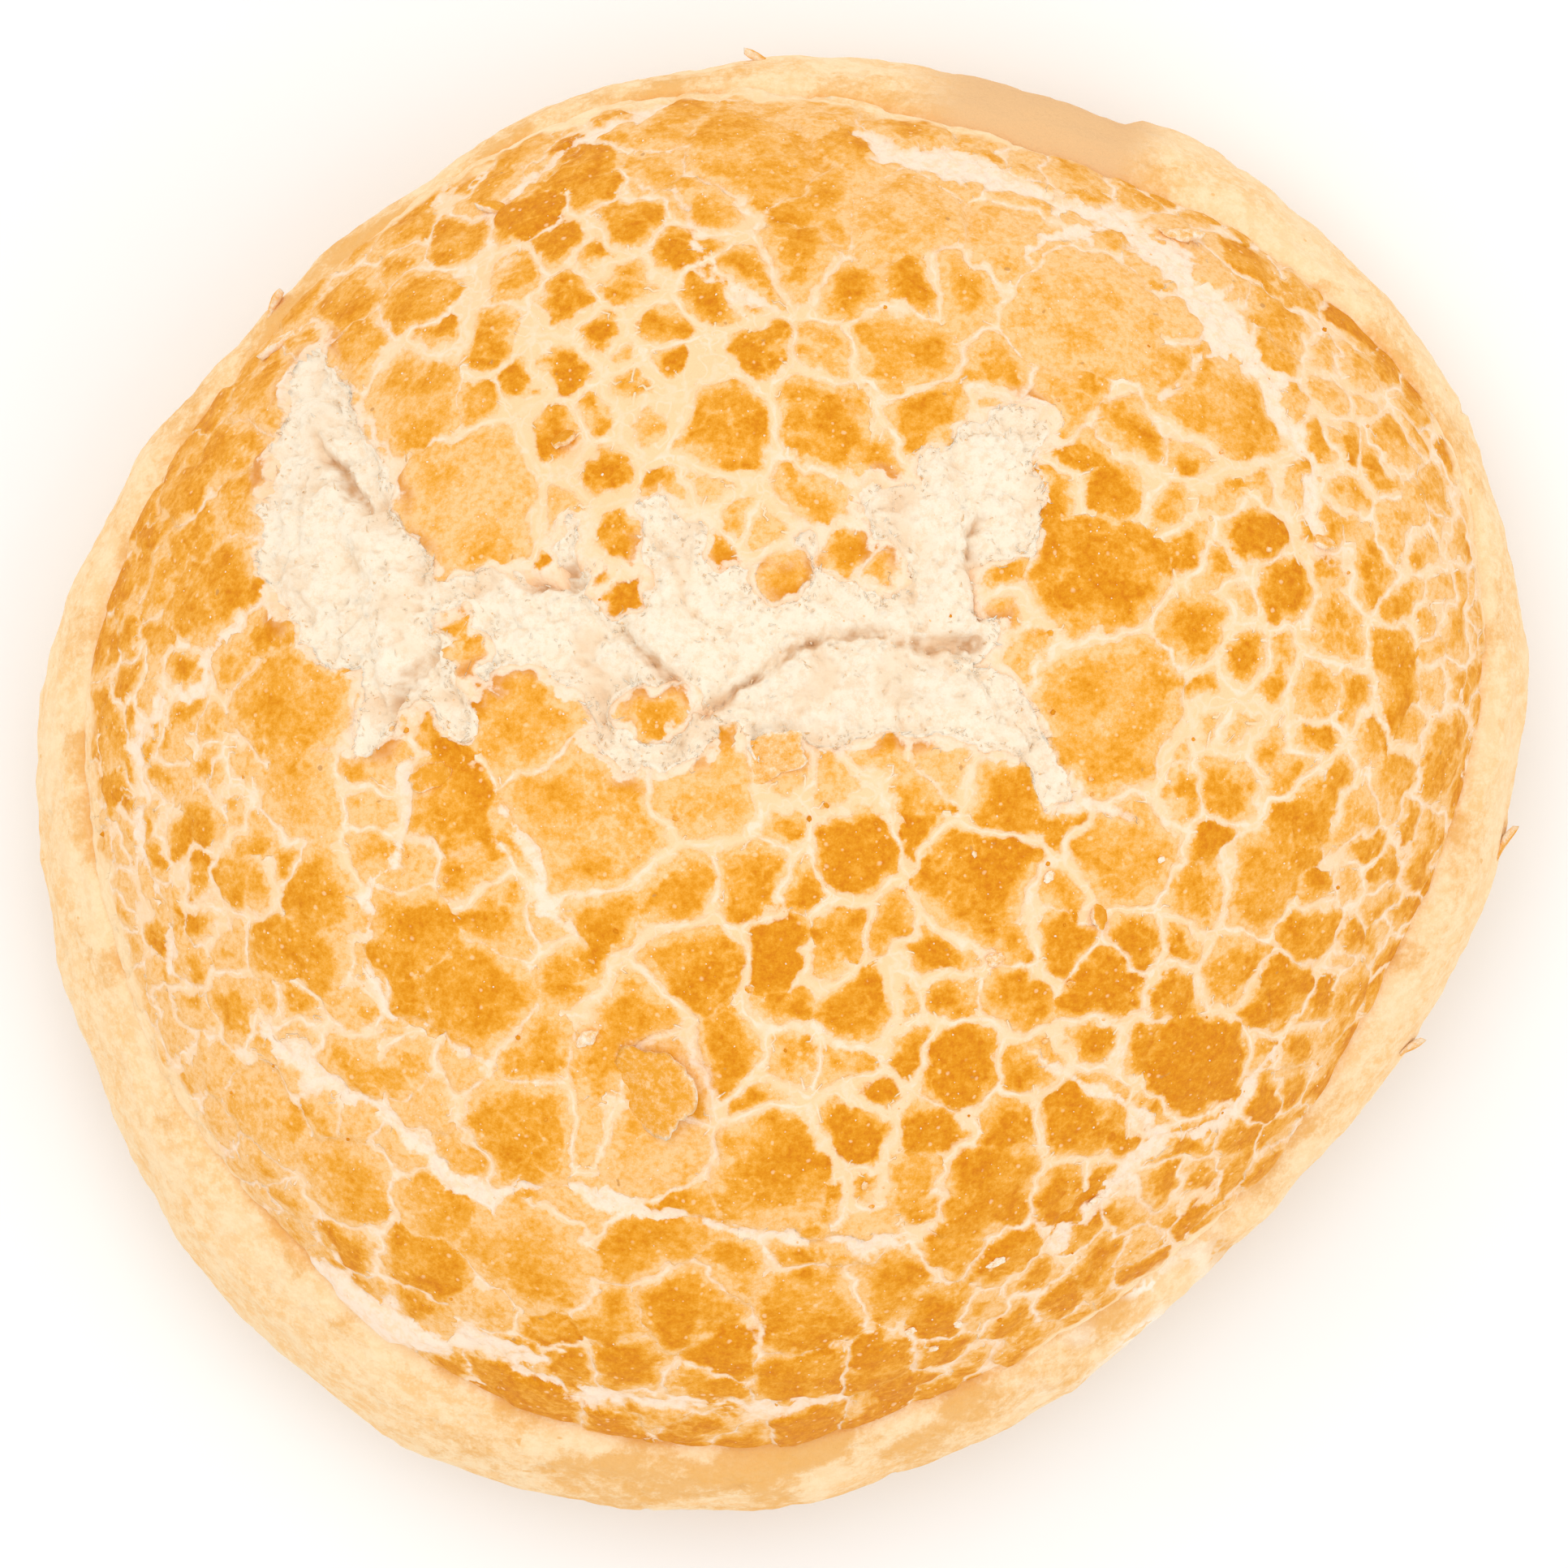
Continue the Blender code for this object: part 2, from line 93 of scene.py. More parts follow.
# Tears: strokes of torn crumb, each point x, y and half width in mm
TEARS = (
    ((-35.4, 32.5, 1.0), (-35.6, 30.2, 1.9), (-35.1, 27.0, 2.8), (-35.0, 24.5, 4.2), (-34.4, 20.0, 5.7),
     (-34.1, 17.0, 6.1), (-32.0, 14.0, 5.6), (-29.2, 11.4, 3.8), (-28.8, 8.9, 2.9), (-30.2, 6.3, 1.7),
     (-31.6, 3.0, 1.0)),
    ((-28.5, 13.0, 2.8), (-26.0, 12.8, 2.7), (-22.5, 12.9, 3.0), (-19.0, 12.3, 3.3), (-15.5, 11.6, 3.8),
     (-12.0, 11.4, 4.2), (-8.0, 12.0, 5.4), (-4.0, 10.8, 5.4), (0.5, 10.6, 5.0), (5.5, 11.2, 5.0),
     (9.5, 12.0, 4.9), (13.0, 13.4, 3.9), (13.5, 16.5, 3.3), (13.0, 20.0, 3.1), (12.5, 23.0, 2.2)),
    ((-26.3, 10.0, 2.0), (-25.6, 6.5, 1.8), (-24.9, 4.0, 1.2)),
    ((-22.0, 11.0, 2.2), (-21.5, 9.2, 1.8), (-17.0, 9.2, 1.6)),
    ((-14.5, 9.0, 3.0), (-13.5, 6.3, 2.9), (-13.0, 4.0, 2.1), (-11.8, 2.2, 1.4), (-8.4, 2.0, 1.2),
     (-6.4, 4.2, 1.6)),
    ((-8.4, 15.0, 3.0), (-8.6, 18.0, 2.2), (-9.8, 20.4, 1.2)),
    ((-15.6, 14.6, 1.6), (-16.4, 17.6, 1.1), (-16.0, 19.6, 0.6)),
    ((-8.0, 8.5, 2.9), (-3.0, 6.7, 3.0), (2.0, 6.5, 3.6), (7.0, 6.9, 3.4), (11.5, 6.6, 3.2),
     (15.5, 5.7, 2.9), (17.8, 3.2, 2.3), (20.7, 0.0, 1.1)),
    ((-2.0, 5.0, 2.1), (-1.0, 2.3, 1.0)),
    ((14.5, 21.5, 2.7), (16.0, 25.3, 2.6), (17.8, 27.0, 2.2)),
    ((16.0, 24.0, 2.9), (17.4, 20.5, 2.5), (17.0, 17.4, 1.6)),
    ((3.4, 14.6, 1.8), (2.4, 17.6, 1.2)),
    ((7.0, 21.4, 1.9), (9.2, 19.4, 3.0), (11.2, 16.4, 3.1)),
)

# Patches of crust left standing in the tears: x, y and radius in mm
ISLANDS = (
    (-24.3, 12.3, 1.4), (-23.5, 10.2, 1.6), (-12.8, 17.4, 2.3), (-12.4, 14.8, 2.1), (-10.4, 5.2, 2.2),
    (-8.4, 5.6, 1.9), (16.6, 14.4, 2.5), (4.6, 18.2, 2.2), (7.4, 16.2, 2.1), (-0.9, 15.4, 2.0),
    (0.8, 15.8, 1.9), (-19.6, 5.8, 3.2), (-17.4, 4.6, 3.0), (-4.9, 17.6, 1.5),
)

# Crevices between folds of crumb: points x, y and half width in mm
CREVICES = (
    ((-5.9, 5.3, 0.2), (-2.2, 8.3, 0.3), (2.1, 10.8, 0.3), (5.8, 11.7, 0.3), (8.8, 10.5, 0.3),
     (14.0, 10.5, 0.6)),
    ((-19.5, 15.9, 0.3), (-17.5, 15.7, 0.6), (-15.1, 15.2, 0.3)),
    ((-36.0, 26.4, 0.1), (-34.8, 24.6, 0.35), (-33.4, 22.6, 0.45), (-31.8, 20.6, 0.1)),
    ((-29.8, 5.9, 0.2), (-27.5, 8.6, 0.3), (-26.1, 10.4, 0.2)),
    ((14.4, 20.0, 0.2), (14.4, 16.0, 0.3), (14.4, 12.6, 0.2)),
    ((-11.4, 11.4, 0.2), (-8.8, 8.2, 0.35), (-6.2, 5.4, 0.2)),
    ((-15.6, 16.4, 0.3), (-18.4, 15.6, 0.5), (-20.4, 15.4, 0.2)),
)

# Folds of crumb that stand up in the tears: points x, y and half width in mm
CRUMB_RIDGES = (
    ((9.8, 22.5, 0.8), (12.4, 19.8, 1.5), (12.9, 15.5, 1.5), (12.0, 12.2, 0.9)),
    ((-8.5, 16.0, 1.0), (-9.5, 11.0, 1.6), (-6.0, 8.0, 1.2)),
    ((-31.5, 17.5, 1.4), (-28.8, 12.5, 1.6), (-29.5, 8.5, 0.9)),
    ((-0.5, 7.8, 0.9), (4.5, 8.6, 1.0), (10.0, 8.2, 1.0), (14.5, 7.2, 0.8)),
    ((-36.5, 21.0, 1.2), (-35.8, 15.0, 1.6)),
)

# Wide cracks between parts of the crust: points x, y and half width in mm
WIDE_CRACKS = (
    ((-28.3, 1.0, 0.7), (-29.2, -5.8, 0.4), (-31.7, -8.8, 0.5), (-30.4, -16.8, 0.4), (-22.5, -21.1, 0.3)),
    ((-21.2, -1.5, 0.5), (-18.2, -7.6, 0.5), (-15.7, -11.3, 0.3)),
    ((-39.0, -18.3, 0.8), (-35.3, -22.3, 0.9), (-29.8, -24.8, 0.5), (-26.1, -29.1, 0.9), (-22.5, -31.5, 1.2),
     (-20.0, -30.3, 0.5), (-15.1, -30.3, 0.5), (-12.6, -32.1, 0.9), (-6.5, -32.8, 0.5), (-1.6, -34.0, 0.5),
     (5.8, -34.6, 0.8), (10.1, -34.0, 0.4)),
    ((5.7, 49.6, 0.5), (9.6, 48.2, 0.95), (14.4, 46.6, 1.3), (17.0, 45.3, 0.9), (22.2, 43.7, 0.8),
     (26.1, 42.8, 1.1), (29.1, 39.8, 1.4), (32.0, 36.4, 1.6), (34.0, 33.4, 1.3), (36.9, 30.4, 0.9),
     (38.4, 27.0, 0.8), (39.8, 24.1, 0.7), (40.3, 19.8, 0.6), (41.3, 16.9, 0.4)),
    ((24.6, 42.4, 0.7), (19.8, 41.2, 0.5), (18.3, 39.5, 0.3)),
    ((34.6, 32.6, 0.5), (31.0, 32.4, 0.35), (30.0, 30.4, 0.3), (28.1, 28.7, 0.2)),
    ((20.7, 0.2, 0.6), (23.4, -1.6, 0.5), (26.4, -2.6, 0.3)),
    ((18.0, -19.9, 0.3), (28.5, -26.3, 0.5), (34.0, -25.4, 0.6), (37.1, -19.9, 0.4)),
    ((28.5, -26.6, 0.5), (25.4, -30.9, 0.4), (21.1, -34.6, 0.8)),
    ((-25.0, -42.0, 0.4), (-22.5, -42.6, 0.6), (-16.3, -46.5, 0.7), (-8.0, -46.9, 0.4), (4.5, -47.2, 0.7)),
    ((-11.4, 46.1, 0.1), (-7.1, 43.3, 0.3), (-5.9, 38.4, 0.2), (-0.4, 35.6, 0.1)),
    ((-41.0, 12.5, 0.6), (-44.5, 8.0, 0.4), (-48.5, 5.0, 0.4), (-49.0, -2.0, 0.4), (-46.5, -13.5, 0.4)),
    ((-20.4, 45.3, 0.4), (-12.9, 50.6, 0.5), (-7.2, 53.4, 0.6), (2.0, 53.0, 0.6)),
)

# Plates of the crust that stand out: x, y and radius in mm, and how dark they are baked, from 0 to 1
PLATES = (
    (-23.7, 21.2, 6.0, 0.22), (-28.0, 29.2, 4.4, 0.45), (-4.0, 26.7, 3.6, 0.72), (2.2, 26.9, 3.6, 0.68),
    (8.8, 32.3, 3.6, 0.55), (22.5, 36.0, 6.0, 0.22), (32.8, 28.6, 5.0, 0.42), (24.5, 5.3, 6.3, 0.46),
    (23.6, 15.1, 4.8, 0.68), (-37.2, 5.9, 5.0, 0.40), (-36.3, -0.6, 3.6, 0.35), (-15.4, -2.7, 6.0, 0.40),
    (-5.3, 0.4, 4.0, 0.20), (5.2, -4.5, 3.6, 0.80), (14.4, -7.3, 5.0, 0.78), (17.4, -1.2, 3.3, 0.70),
    (31.5, -21.1, 4.8, 0.85), (25.4, -5.2, 4.2, 0.42), (36.4, -7.0, 4.4, 0.60), (-19.4, -36.0, 4.8, 0.48),
    (-0.4, -28.5, 4.6, 0.62), (15.6, -30.3, 4.5, 0.78), (8.2, -37.8, 3.2, 0.66), (2.1, -40.0, 3.8, 0.66),
    (-7.7, -39.5, 3.6, 0.70), (-27.4, -36.4, 3.0, 0.66), (-10.2, -27.6, 3.4, 0.26), (-19.4, -26.0, 4.6, 0.60),
    (-19.4, 4.6, 4.0, 0.45), (-25.5, -2.0, 3.0, 0.72), (-2.2, 48.0, 5.4, 0.42), (17.4, 40.6, 4.0, 0.24),
    (9.0, 43.0, 4.6, 0.28), (-23.5, -15.6, 4.6, 0.66), (-28.0, -11.3, 3.6, 0.62), (-6.5, -13.1, 3.4, 0.66),
    (-0.4, -12.5, 2.6, 0.82), (5.2, -25.4, 3.2, 0.80), (22.3, -25.4, 4.2, 0.84), (5.8, -16.8, 3.0, 0.70),
    (13.1, -21.1, 3.0, 0.76), (24.0, -15.0, 3.2, 0.80), (-32.9, -30.0, 4.4, 0.38), (-39.0, -25.0, 3.4, 0.32),
    (-43.5, 14.0, 4.2, 0.60), (-16.9, 40.6, 1.6, 0.84), (-16.3, 36.6, 2.0, 0.90), (-13.9, 33.8, 1.6, 0.84),
    (-9.0, 34.7, 1.9, 0.94), (-12.0, 37.5, 1.4, 0.80), (-5.6, 36.6, 1.9, 0.90), (-9.3, 32.0, 1.6, 0.80),
    (-16.3, 31.3, 2.0, 0.84), (-21.8, 33.5, 1.9, 0.70), (-1.3, 32.6, 2.2, 0.76), (-13.9, 28.0, 1.5, 0.76),
    (-16.9, 26.7, 1.7, 0.80), (-13.3, 24.0, 1.7, 0.74), (-8.3, 40.9, 1.6, 0.90), (-11.4, 29.8, 1.3, 0.70),
    (-20.0, 37.5, 1.8, 0.66), (-9.0, 21.8, 1.9, 0.72), (-16.9, 20.0, 1.8, 0.55), (-5.9, 22.5, 1.8, 0.68),
    (2.1, 21.8, 2.8, 0.52), (-1.0, 18.8, 1.6, 0.60), (5.2, 17.5, 1.8, 0.78), (7.6, 15.7, 1.6, 0.72),
    (-5.3, 17.9, 1.1, 0.72), (-4.0, 20.0, 1.3, 0.60), (4.5, 28.6, 1.5, 0.62), (7.0, 24.0, 1.6, 0.60),
    (11.3, 27.4, 3.0, 0.58), (9.4, 36.9, 1.5, 0.80), (5.2, 37.2, 2.2, 0.62), (13.7, 37.2, 2.2, 0.42),
    (-2.2, 37.8, 2.0, 0.62), (22.0, 24.9, 1.4, 0.74), (20.5, 22.5, 1.4, 0.66), (24.8, 22.5, 2.2, 0.64),
    (26.6, 25.8, 1.2, 0.66), (16.2, 31.0, 1.6, 0.55), (19.9, 28.6, 1.8, 0.52), (30.9, 24.9, 2.2, 0.60),
    (35.2, 18.8, 2.2, 0.80), (32.8, 16.3, 1.6, 0.66), (37.7, 14.2, 1.9, 0.76), (30.9, 11.7, 2.6, 0.72),
    (35.2, 10.2, 1.3, 0.66), (42.6, 22.5, 1.6, 0.60), (44.4, 16.3, 2.2, 0.58), (42.0, 12.0, 2.4, 0.58),
    (40.1, 7.1, 1.8, 0.66), (36.4, 2.8, 1.7, 0.66), (33.4, -0.2, 1.9, 0.62), (38.9, -2.1, 2.0, 0.66),
    (46.3, 0.4, 2.2, 0.60), (31.5, -8.2, 2.6, 0.66), (38.3, -15.6, 2.0, 0.70), (33.4, -14.4, 2.6, 0.76),
    (10.1, -0.2, 1.6, 0.66), (11.9, 1.9, 2.0, 0.56), (7.0, 2.8, 2.4, 0.48), (4.5, 0.4, 2.2, 0.52),
    (-1.0, 1.3, 2.2, 0.30), (1.5, -7.6, 1.9, 0.80), (-2.2, -7.6, 2.4, 0.70), (7.6, -10.1, 1.5, 0.84),
    (11.3, -12.5, 2.2, 0.80), (11.9, -15.9, 1.7, 0.80), (8.8, -16.2, 1.6, 0.80), (4.5, -20.5, 2.4, 0.76),
    (8.8, -20.2, 1.6, 0.76), (6.4, -23.6, 2.6, 0.84), (17.4, -15.6, 2.4, 0.76), (20.5, -12.1, 2.0, 0.78),
    (18.0, -21.0, 1.6, 0.80), (29.1, -15.6, 1.8, 0.80), (26.0, -12.7, 1.6, 0.76), (17.4, -26.0, 2.4, 0.80),
    (20.5, -30.7, 2.4, 0.84), (16.8, -36.4, 2.4, 0.72), (11.9, -39.7, 2.2, 0.72), (12.5, -43.3, 2.2, 0.76),
    (21.1, -39.3, 2.2, 0.72), (28.6, -30.7, 2.2, 0.66), (-11.4, -17.4, 2.2, 0.62), (-18.8, -20.5, 2.2, 0.60),
    (-13.9, -21.1, 1.9, 0.64), (-9.0, -22.0, 2.8, 0.46), (-4.0, -19.9, 2.6, 0.66), (-16.3, -14.4, 2.2, 0.62),
    (-21.2, -10.3, 2.4, 0.60), (-13.9, -8.9, 2.4, 0.56), (-8.3, -8.2, 2.4, 0.58), (-34.7, -8.2, 2.6, 0.56),
    (-40.9, -7.0, 2.4, 0.60), (-39.0, -12.5, 2.6, 0.60), (-43.9, -2.7, 1.8, 0.64), (-34.7, -13.5, 2.2, 0.55),
    (-42.0, -17.0, 2.0, 0.50), (-32.9, -21.1, 2.8, 0.50), (-27.4, -16.2, 2.4, 0.62),
    (-15.1, -26.6, 2.2, 0.60), (-26.8, -31.6, 2.2, 0.42), (-32.9, -35.0, 1.9, 0.78),
    (-22.5, -39.9, 2.2, 0.52), (-12.6, -40.0, 1.6, 0.62),
    (-16.3, -44.4, 1.6, 0.72), (-11.6, -44.3, 1.8, 0.70), (-4.0, -36.4, 2.2, 0.70), (-11.4, -35.6, 1.9, 0.64),
    (2.1, -45.0, 3.0, 0.74), (-40.9, 8.9, 1.8, 0.55), (-39.0, 11.3, 2.0, 0.60), (-39.6, 29.8, 3.2, 0.56),
    (-33.5, 36.6, 3.2, 0.55), (-27.6, 36.6, 2.6, 0.52), (-24.9, 41.5, 2.8, 0.62), (-19.0, 43.3, 2.6, 0.84),
    (-31.8, 32.9, 2.2, 0.50), (-32.0, 26.4, 1.8, 0.50), (3.3, 44.0, 3.2, 0.50), (1.5, 39.2, 2.6, 0.52),
    (35.2, 40.2, 2.8, 0.60), (38.3, 35.2, 2.6, 0.50), (41.8, 29.8, 1.8, 0.62), (45.0, 24.1, 1.6, 0.62),
    (50.0, 1.6, 3.4, 0.64), (49.0, -5.0, 3.2, 0.66), (-0.2, 15.6, 2.4, 0.46), (-9.4, 5.4, 2.6, 0.46),
)

# Zones of the crust: x, y and reach in mm, plates' spacing and cracks' half width in mm, how dark and how
# round the plates are. The open zone holds wherever no other reaches.
CRUST_ZONES = (
    (-13.0, 31.0, 12.0, 3.0, 0.54, 0.82, 1.0), (38.0, 12.0, 12.0, 2.7, 0.30, 0.64, 0.4),
    (-46.0, -2.0, 9.0, 2.7, 0.20, 0.56, 0.2), (10.0, -12.0, 13.0, 3.6, 0.38, 0.78, 0.6),
    (25.0, -22.0, 10.0, 3.6, 0.36, 0.80, 0.4), (-36.0, -24.0, 11.0, 3.4, 0.12, 0.32, 0.1),
    (0.0, 47.0, 12.0, 8.0, 0.02, 0.42, 0.0), (24.0, 40.0, 10.0, 5.0, 0.15, 0.32, 0.0),
    (-18.0, -47.0, 9.0, 8.0, 0.05, 0.80, 0.0), (0.0, -49.0, 9.0, 8.0, 0.05, 0.82, 0.0),
    (-40.0, 34.0, 12.0, 6.0, 0.05, 0.52, 0.0), (46.0, -4.0, 9.0, 3.8, 0.18, 0.58, 0.2),
    (-46.0, 20.0, 8.0, 6.5, 0.04, 0.66, 0.0), (30.0, -36.0, 9.0, 5.0, 0.10, 0.70, 0.1),
    (-17.0, 46.0, 8.0, 7.0, 0.03, 0.60, 0.0), (39.0, -28.0, 5.0, 6.0, 0.03, 0.66, 0.0),
    (-14.0, 36.0, 7.0, 3.0, 0.52, 0.84, 1.0), (-10.0, 27.0, 8.0, 3.0, 0.46, 0.76, 1.0),
)
OPEN_ZONE = (3.9, 0.20, 0.54, 0.0)
OPEN_ZONE_WEIGHT = 0.12

# Where the crust's edge fades into the skirt: middle and spread in degrees, and width in mm
SOFT_EDGES = ((194, 26, 2.6), (98, 34, 2.0), (305, 14, 1.2), (20, 10, 1.2))

# Where the crust's edge is baked to a darker band: middle and spread in degrees, and how much darker
BAKED_EDGES = ((155, 14, 0.35), (262, 26, 0.40), (352, 18, 0.30), (40, 12, 0.25))

# Broad golden parts of the skirt: middle and spread in degrees, and strength
BROAD_GOLD = ((266, 30, 1.0), (126, 30, 0.85))

# Golden spot on the skirt: x, y and radius in mm
GOLDEN_SPOT = (33.7, -35.9, 1.3)

# Flour on the skirt: middle and spread in degrees
FLOUR_PATCH = (304.0, 9.0)

# Smooth tan dough past the skirt's fold, in degrees: where it starts, is full, starts to fade and ends
SMOOTH_DOUGH = (58.0, 62.5, 74.0, 82.0)

# Lamps: place and size in metres. Sky: strength at the horizon and overhead, as shares of the mean.
KEY_PLACE = (-0.2, 0.3, 1.0)
FILL_PLACE = (0.5, -0.4, 0.9)
LAMP_SIZE = 0.8
SKY_STRENGTHS = (1.30, 0.85)

# Smooth dough that swells out from under the crust: points x, y and half width in mm
SWOLLEN_DOUGH = ((-37.0, -36.2, 0.5), (-34.0, -39.2, 1.7), (-30.0, -41.2, 2.0), (-25.6, -42.2, 0.6))

# Spots darker than the plate round them, mostly baked darker; the one by the curled rim at the back left and
# the one in the recess in front of the middle are painted shade: x, y and radius in mm, and how much darker
BAKED_AND_SHADED_SPOTS = (
    (-33.7, -36.4, 1.7, 0.55), (-26.6, -38.6, 2.0, 0.50), (-20.9, 43.6, 1.6, 0.45), (-4.9, 36.4, 1.2, 0.40),
    (-7.9, 34.2, 1.2, 0.40), (-0.6, -12.4, 2.2, 0.50), (5.6, -25.6, 2.2, 0.35), (26.6, -25.7, 2.0, 0.60),
    (31.0, -22.4, 2.6, 0.40), (23.6, -31.4, 1.6, 0.45), (16.4, -7.2, 2.6, 0.30), (5.0, -4.0, 2.8, 0.25),
    (38.3, -15.6, 1.6, 0.40), (-12.6, 14.4, 1.6, 0.45), (-23.0, 17.2, 1.4, 0.50), (-11.4, -24.0, 1.4, 0.40),
    (-30.4, 5.4, 1.2, 0.45), (-38.6, 15.0, 1.0, 0.45), (12.0, -1.4, 1.4, 0.30), (28.8, 8.0, 2.0, 0.30),
    (-5.0, 3.8, 1.2, 0.45), (36.0, 17.6, 1.6, 0.35), (20.4, 14.8, 1.8, 0.30), (9.6, -22.6, 1.6, 0.35),
)

# Lifted flakes of crust: x, y, length, width and lift in mm, direction of the lifted end in degrees, darkness
LIFTED_FLAKES = (
    (-9.8, -22.8, 6.8, 5.8, 1.5, -58, 0.42),
    (-21.6, 43.8, 3.2, 1.1, 0.8, 140, 0.50),
    (-16.6, 26.0, 2.8, 1.8, 0.8, -70, 0.62),
    (-1.0, 2.0, 5.6, 3.6, 0.7, 20, 0.30),
    (-26.4, 0.6, 3.0, 2.2, 0.8, 200, 0.48),
    (29.8, 41.4, 3.4, 1.4, 0.9, 30, 0.20),
    (-38.0, 34.0, 4.4, 1.2, 0.5, 228, 0.20),
    (40.6, 18.6, 2.2, 1.4, 0.8, -30, 0.30),
    (23.6, -9.6, 2.4, 1.5, 0.6, 240, 0.50),
)

# Flakes on the skirt that stick out past the outline: turn in degrees, share of the way down the skirt,
# length, width and lift in mm, direction in degrees, darkness
SKIRT_FLAKES = (
    (-4.7, 0.44, 2.6, 1.7, 1.0, 85, 0.40), (-22.9, 0.45, 2.0, 1.4, 0.9, 67, 0.34),
    (92.0, 0.42, 2.2, 0.9, 0.7, 182, 0.40), (137.0, 0.36, 2.8, 1.3, 0.4, 47, 0.30),
)

# Loose crumbs on the crust: x, y, length and width in mm, and how dark
LOOSE_CRUMBS = (
    (-14.8, -19.2, 1.9, 1.0, 0.15), (15.9, -13.1, 1.3, 1.0, 0.20), (19.9, -7.0, 0.9, 0.7, 0.10),
    (15.9, -35.8, 1.5, 0.8, 0.05), (9.5, -41.5, 1.0, 0.7, 0.10), (11.3, -42.8, 0.8, 0.6, 0.15),
    (13.2, -41.0, 0.9, 0.6, 0.05), (23.6, -31.6, 1.2, 0.7, 0.10), (21.4, -14.9, 0.7, 0.5, 0.30),
    (-2.6, -15.4, 0.6, 0.5, 0.40), (28.0, -5.6, 0.6, 0.5, 0.10), (6.0, -29.9, 0.7, 0.5, 0.25),
)


def length_mm(name, default, description):
    """A length that a user may change, given in millimetres and kept in metres."""
    return FloatProperty(name=name, description=description, default=default * MM, unit="LENGTH", precision=5)


def number(name, default, description):
    """A plain number that a user may change."""
    return FloatProperty(name=name, description=description, default=default)


def count_of(name, default, description):
    """A count or seed that a user may change."""
    return IntProperty(name=name, description=description, default=default)


def power(name, default, description):
    """A lamp's power that a user may change, in watts."""
    return FloatProperty(name=name, description=description, default=default, unit="POWER")


def colour(name, default, description):
    """A colour that a user may change, linear red, green and blue."""
    return FloatVectorProperty(name=name, description=description, default=default, size=3, min=0.0, max=1.0,
                               subtype="COLOR")


class RollFormSettings(bpy.types.PropertyGroup):
    """Sizes of the bare roll, under its relief."""

    mean_radius: length_mm("Mean radius", 55.8, "Distance from the axis to the roll's outline")
    height: length_mm("Height", 50.5, "Height of the crust's top")
    skirt_width: length_mm("Skirt width", 4.0, "Pale dough outside the crust, seen from above")
    bulge_height: length_mm("Bulge height", 12.5, "Height at which the skirt is widest")
    foot_inset: length_mm("Foot inset", 9.0, "How far the flat underside stays inside the outline")
    edge_base: length_mm("Edge base", 15.0, "Height of the crust's edge where the skirt has no width")
    edge_rise: number("Edge rise", 1.4, "Rise of the crust's edge for each unit of skirt width")
    crease: length_mm("Crease", 0.4, "Least drop from the crust's edge to the skirt")
    fullness: number("Fullness", 2.3, "How boldly the dome swells")
    shoulder: number("Shoulder", 0.62, "How sharply the dome turns down")
    openness: number("Openness", 0.04, "How far the dome's edge leans outward")
    roundness: number("Skirt roundness", 1.3, "1 is an elliptical skirt, more is flatter")
    fold_step: length_mm("Fold step", 0.9, "Step out of the skirt at its fold")
    fold_angle: FloatProperty(name="Fold angle", description="Turn round the axis at which the skirt folds",
                              default=math.radians(62), subtype="ANGLE")
    crust_step: length_mm("Crust step", 0.385, "Distance between the points of the crust's mesh")
    skirt_step: length_mm("Skirt step", 0.50, "Distance between the points of the skirt's mesh")


class CrustSettings(bpy.types.PropertyGroup):
    """Relief and colours of the tiger crust and of the crumb in its tears."""

    tear_depth: length_mm("Tear depth", 0.8, "Drop from the plates to the torn crumb")
    crevice_depth: length_mm("Crevice depth", 0.9, "Depth of the crevices in the crumb")
    wide_depth: length_mm("Wide crack depth", 0.45, "Depth of the wide cracks")
    crack_depth: length_mm("Crack depth", 0.20, "Depth of the cracks between plates")
    curl: length_mm("Curl", 0.35, "How far the plates' edges lift beside a tear")
    crumb_step: length_mm("Crumb step", 0.25, "Distance between the points of the torn crumb's mesh")
    seed: count_of("Seed", 7, "Chooses another crust")
    dark: colour("Darkest plate", (0.66, 0.20, 0.0035), "The most baked spots")
    golden: colour("Golden plate", (0.75, 0.283, 0.008), "The middle of a well baked plate")
    amber: colour("Amber plate", (0.83, 0.365, 0.036), "A plate of middling bake")
    peach: colour("Peach plate", (0.87, 0.45, 0.115), "A lightly baked plate")
    pale: colour("Pale plate", (0.91, 0.56, 0.25), "The palest plates")
    crack: colour("Crack", (0.96, 0.635, 0.35), "Paste in the cracks")
    cream: colour("Cream", (0.96, 0.765, 0.59), "Dough and threads of paste in the cracks")
    # The crumb colours are a lit and a painted-shade copy of one crumb: the shaded one is painted where the
    # crumb lies low, in its creases and crevices and near the tears' edges, and also makes random flecks.
    crumb: colour("Crumb", (0.92, 0.80, 0.63), "Torn crumb in the light")
    crumb_shade: colour("Crumb in shade", (0.87, 0.655, 0.44), "Crumb low in the tears")
    # Painted shade colour: the brown laid at the bottom of the crumb's crevices and on small dark pits in the
    # plates.
    hollow: colour("Hollow", (0.56, 0.26, 0.075), "The bottom of the crevices")


class DoughSettings(bpy.types.PropertyGroup):
    """Colours of the pale skirt and the underside."""

    light: colour("Pale dough", (0.97, 0.75, 0.47), "The skirt where it is palest")
    warm: colour("Warm dough", (0.92, 0.54, 0.21), "The skirt where it has baked a little")
    gold: colour("Golden dough", (0.82, 0.40, 0.08), "Golden patches next to the crust")
    tan: colour("Smooth dough", (0.82, 0.50, 0.24), "Smooth dough at the back")
    under: colour("Underside", (0.72, 0.40, 0.14), "The underside, browned on its tray")
    flour: colour("Flour", (0.96, 0.88, 0.74), "Flour left on the skirt")


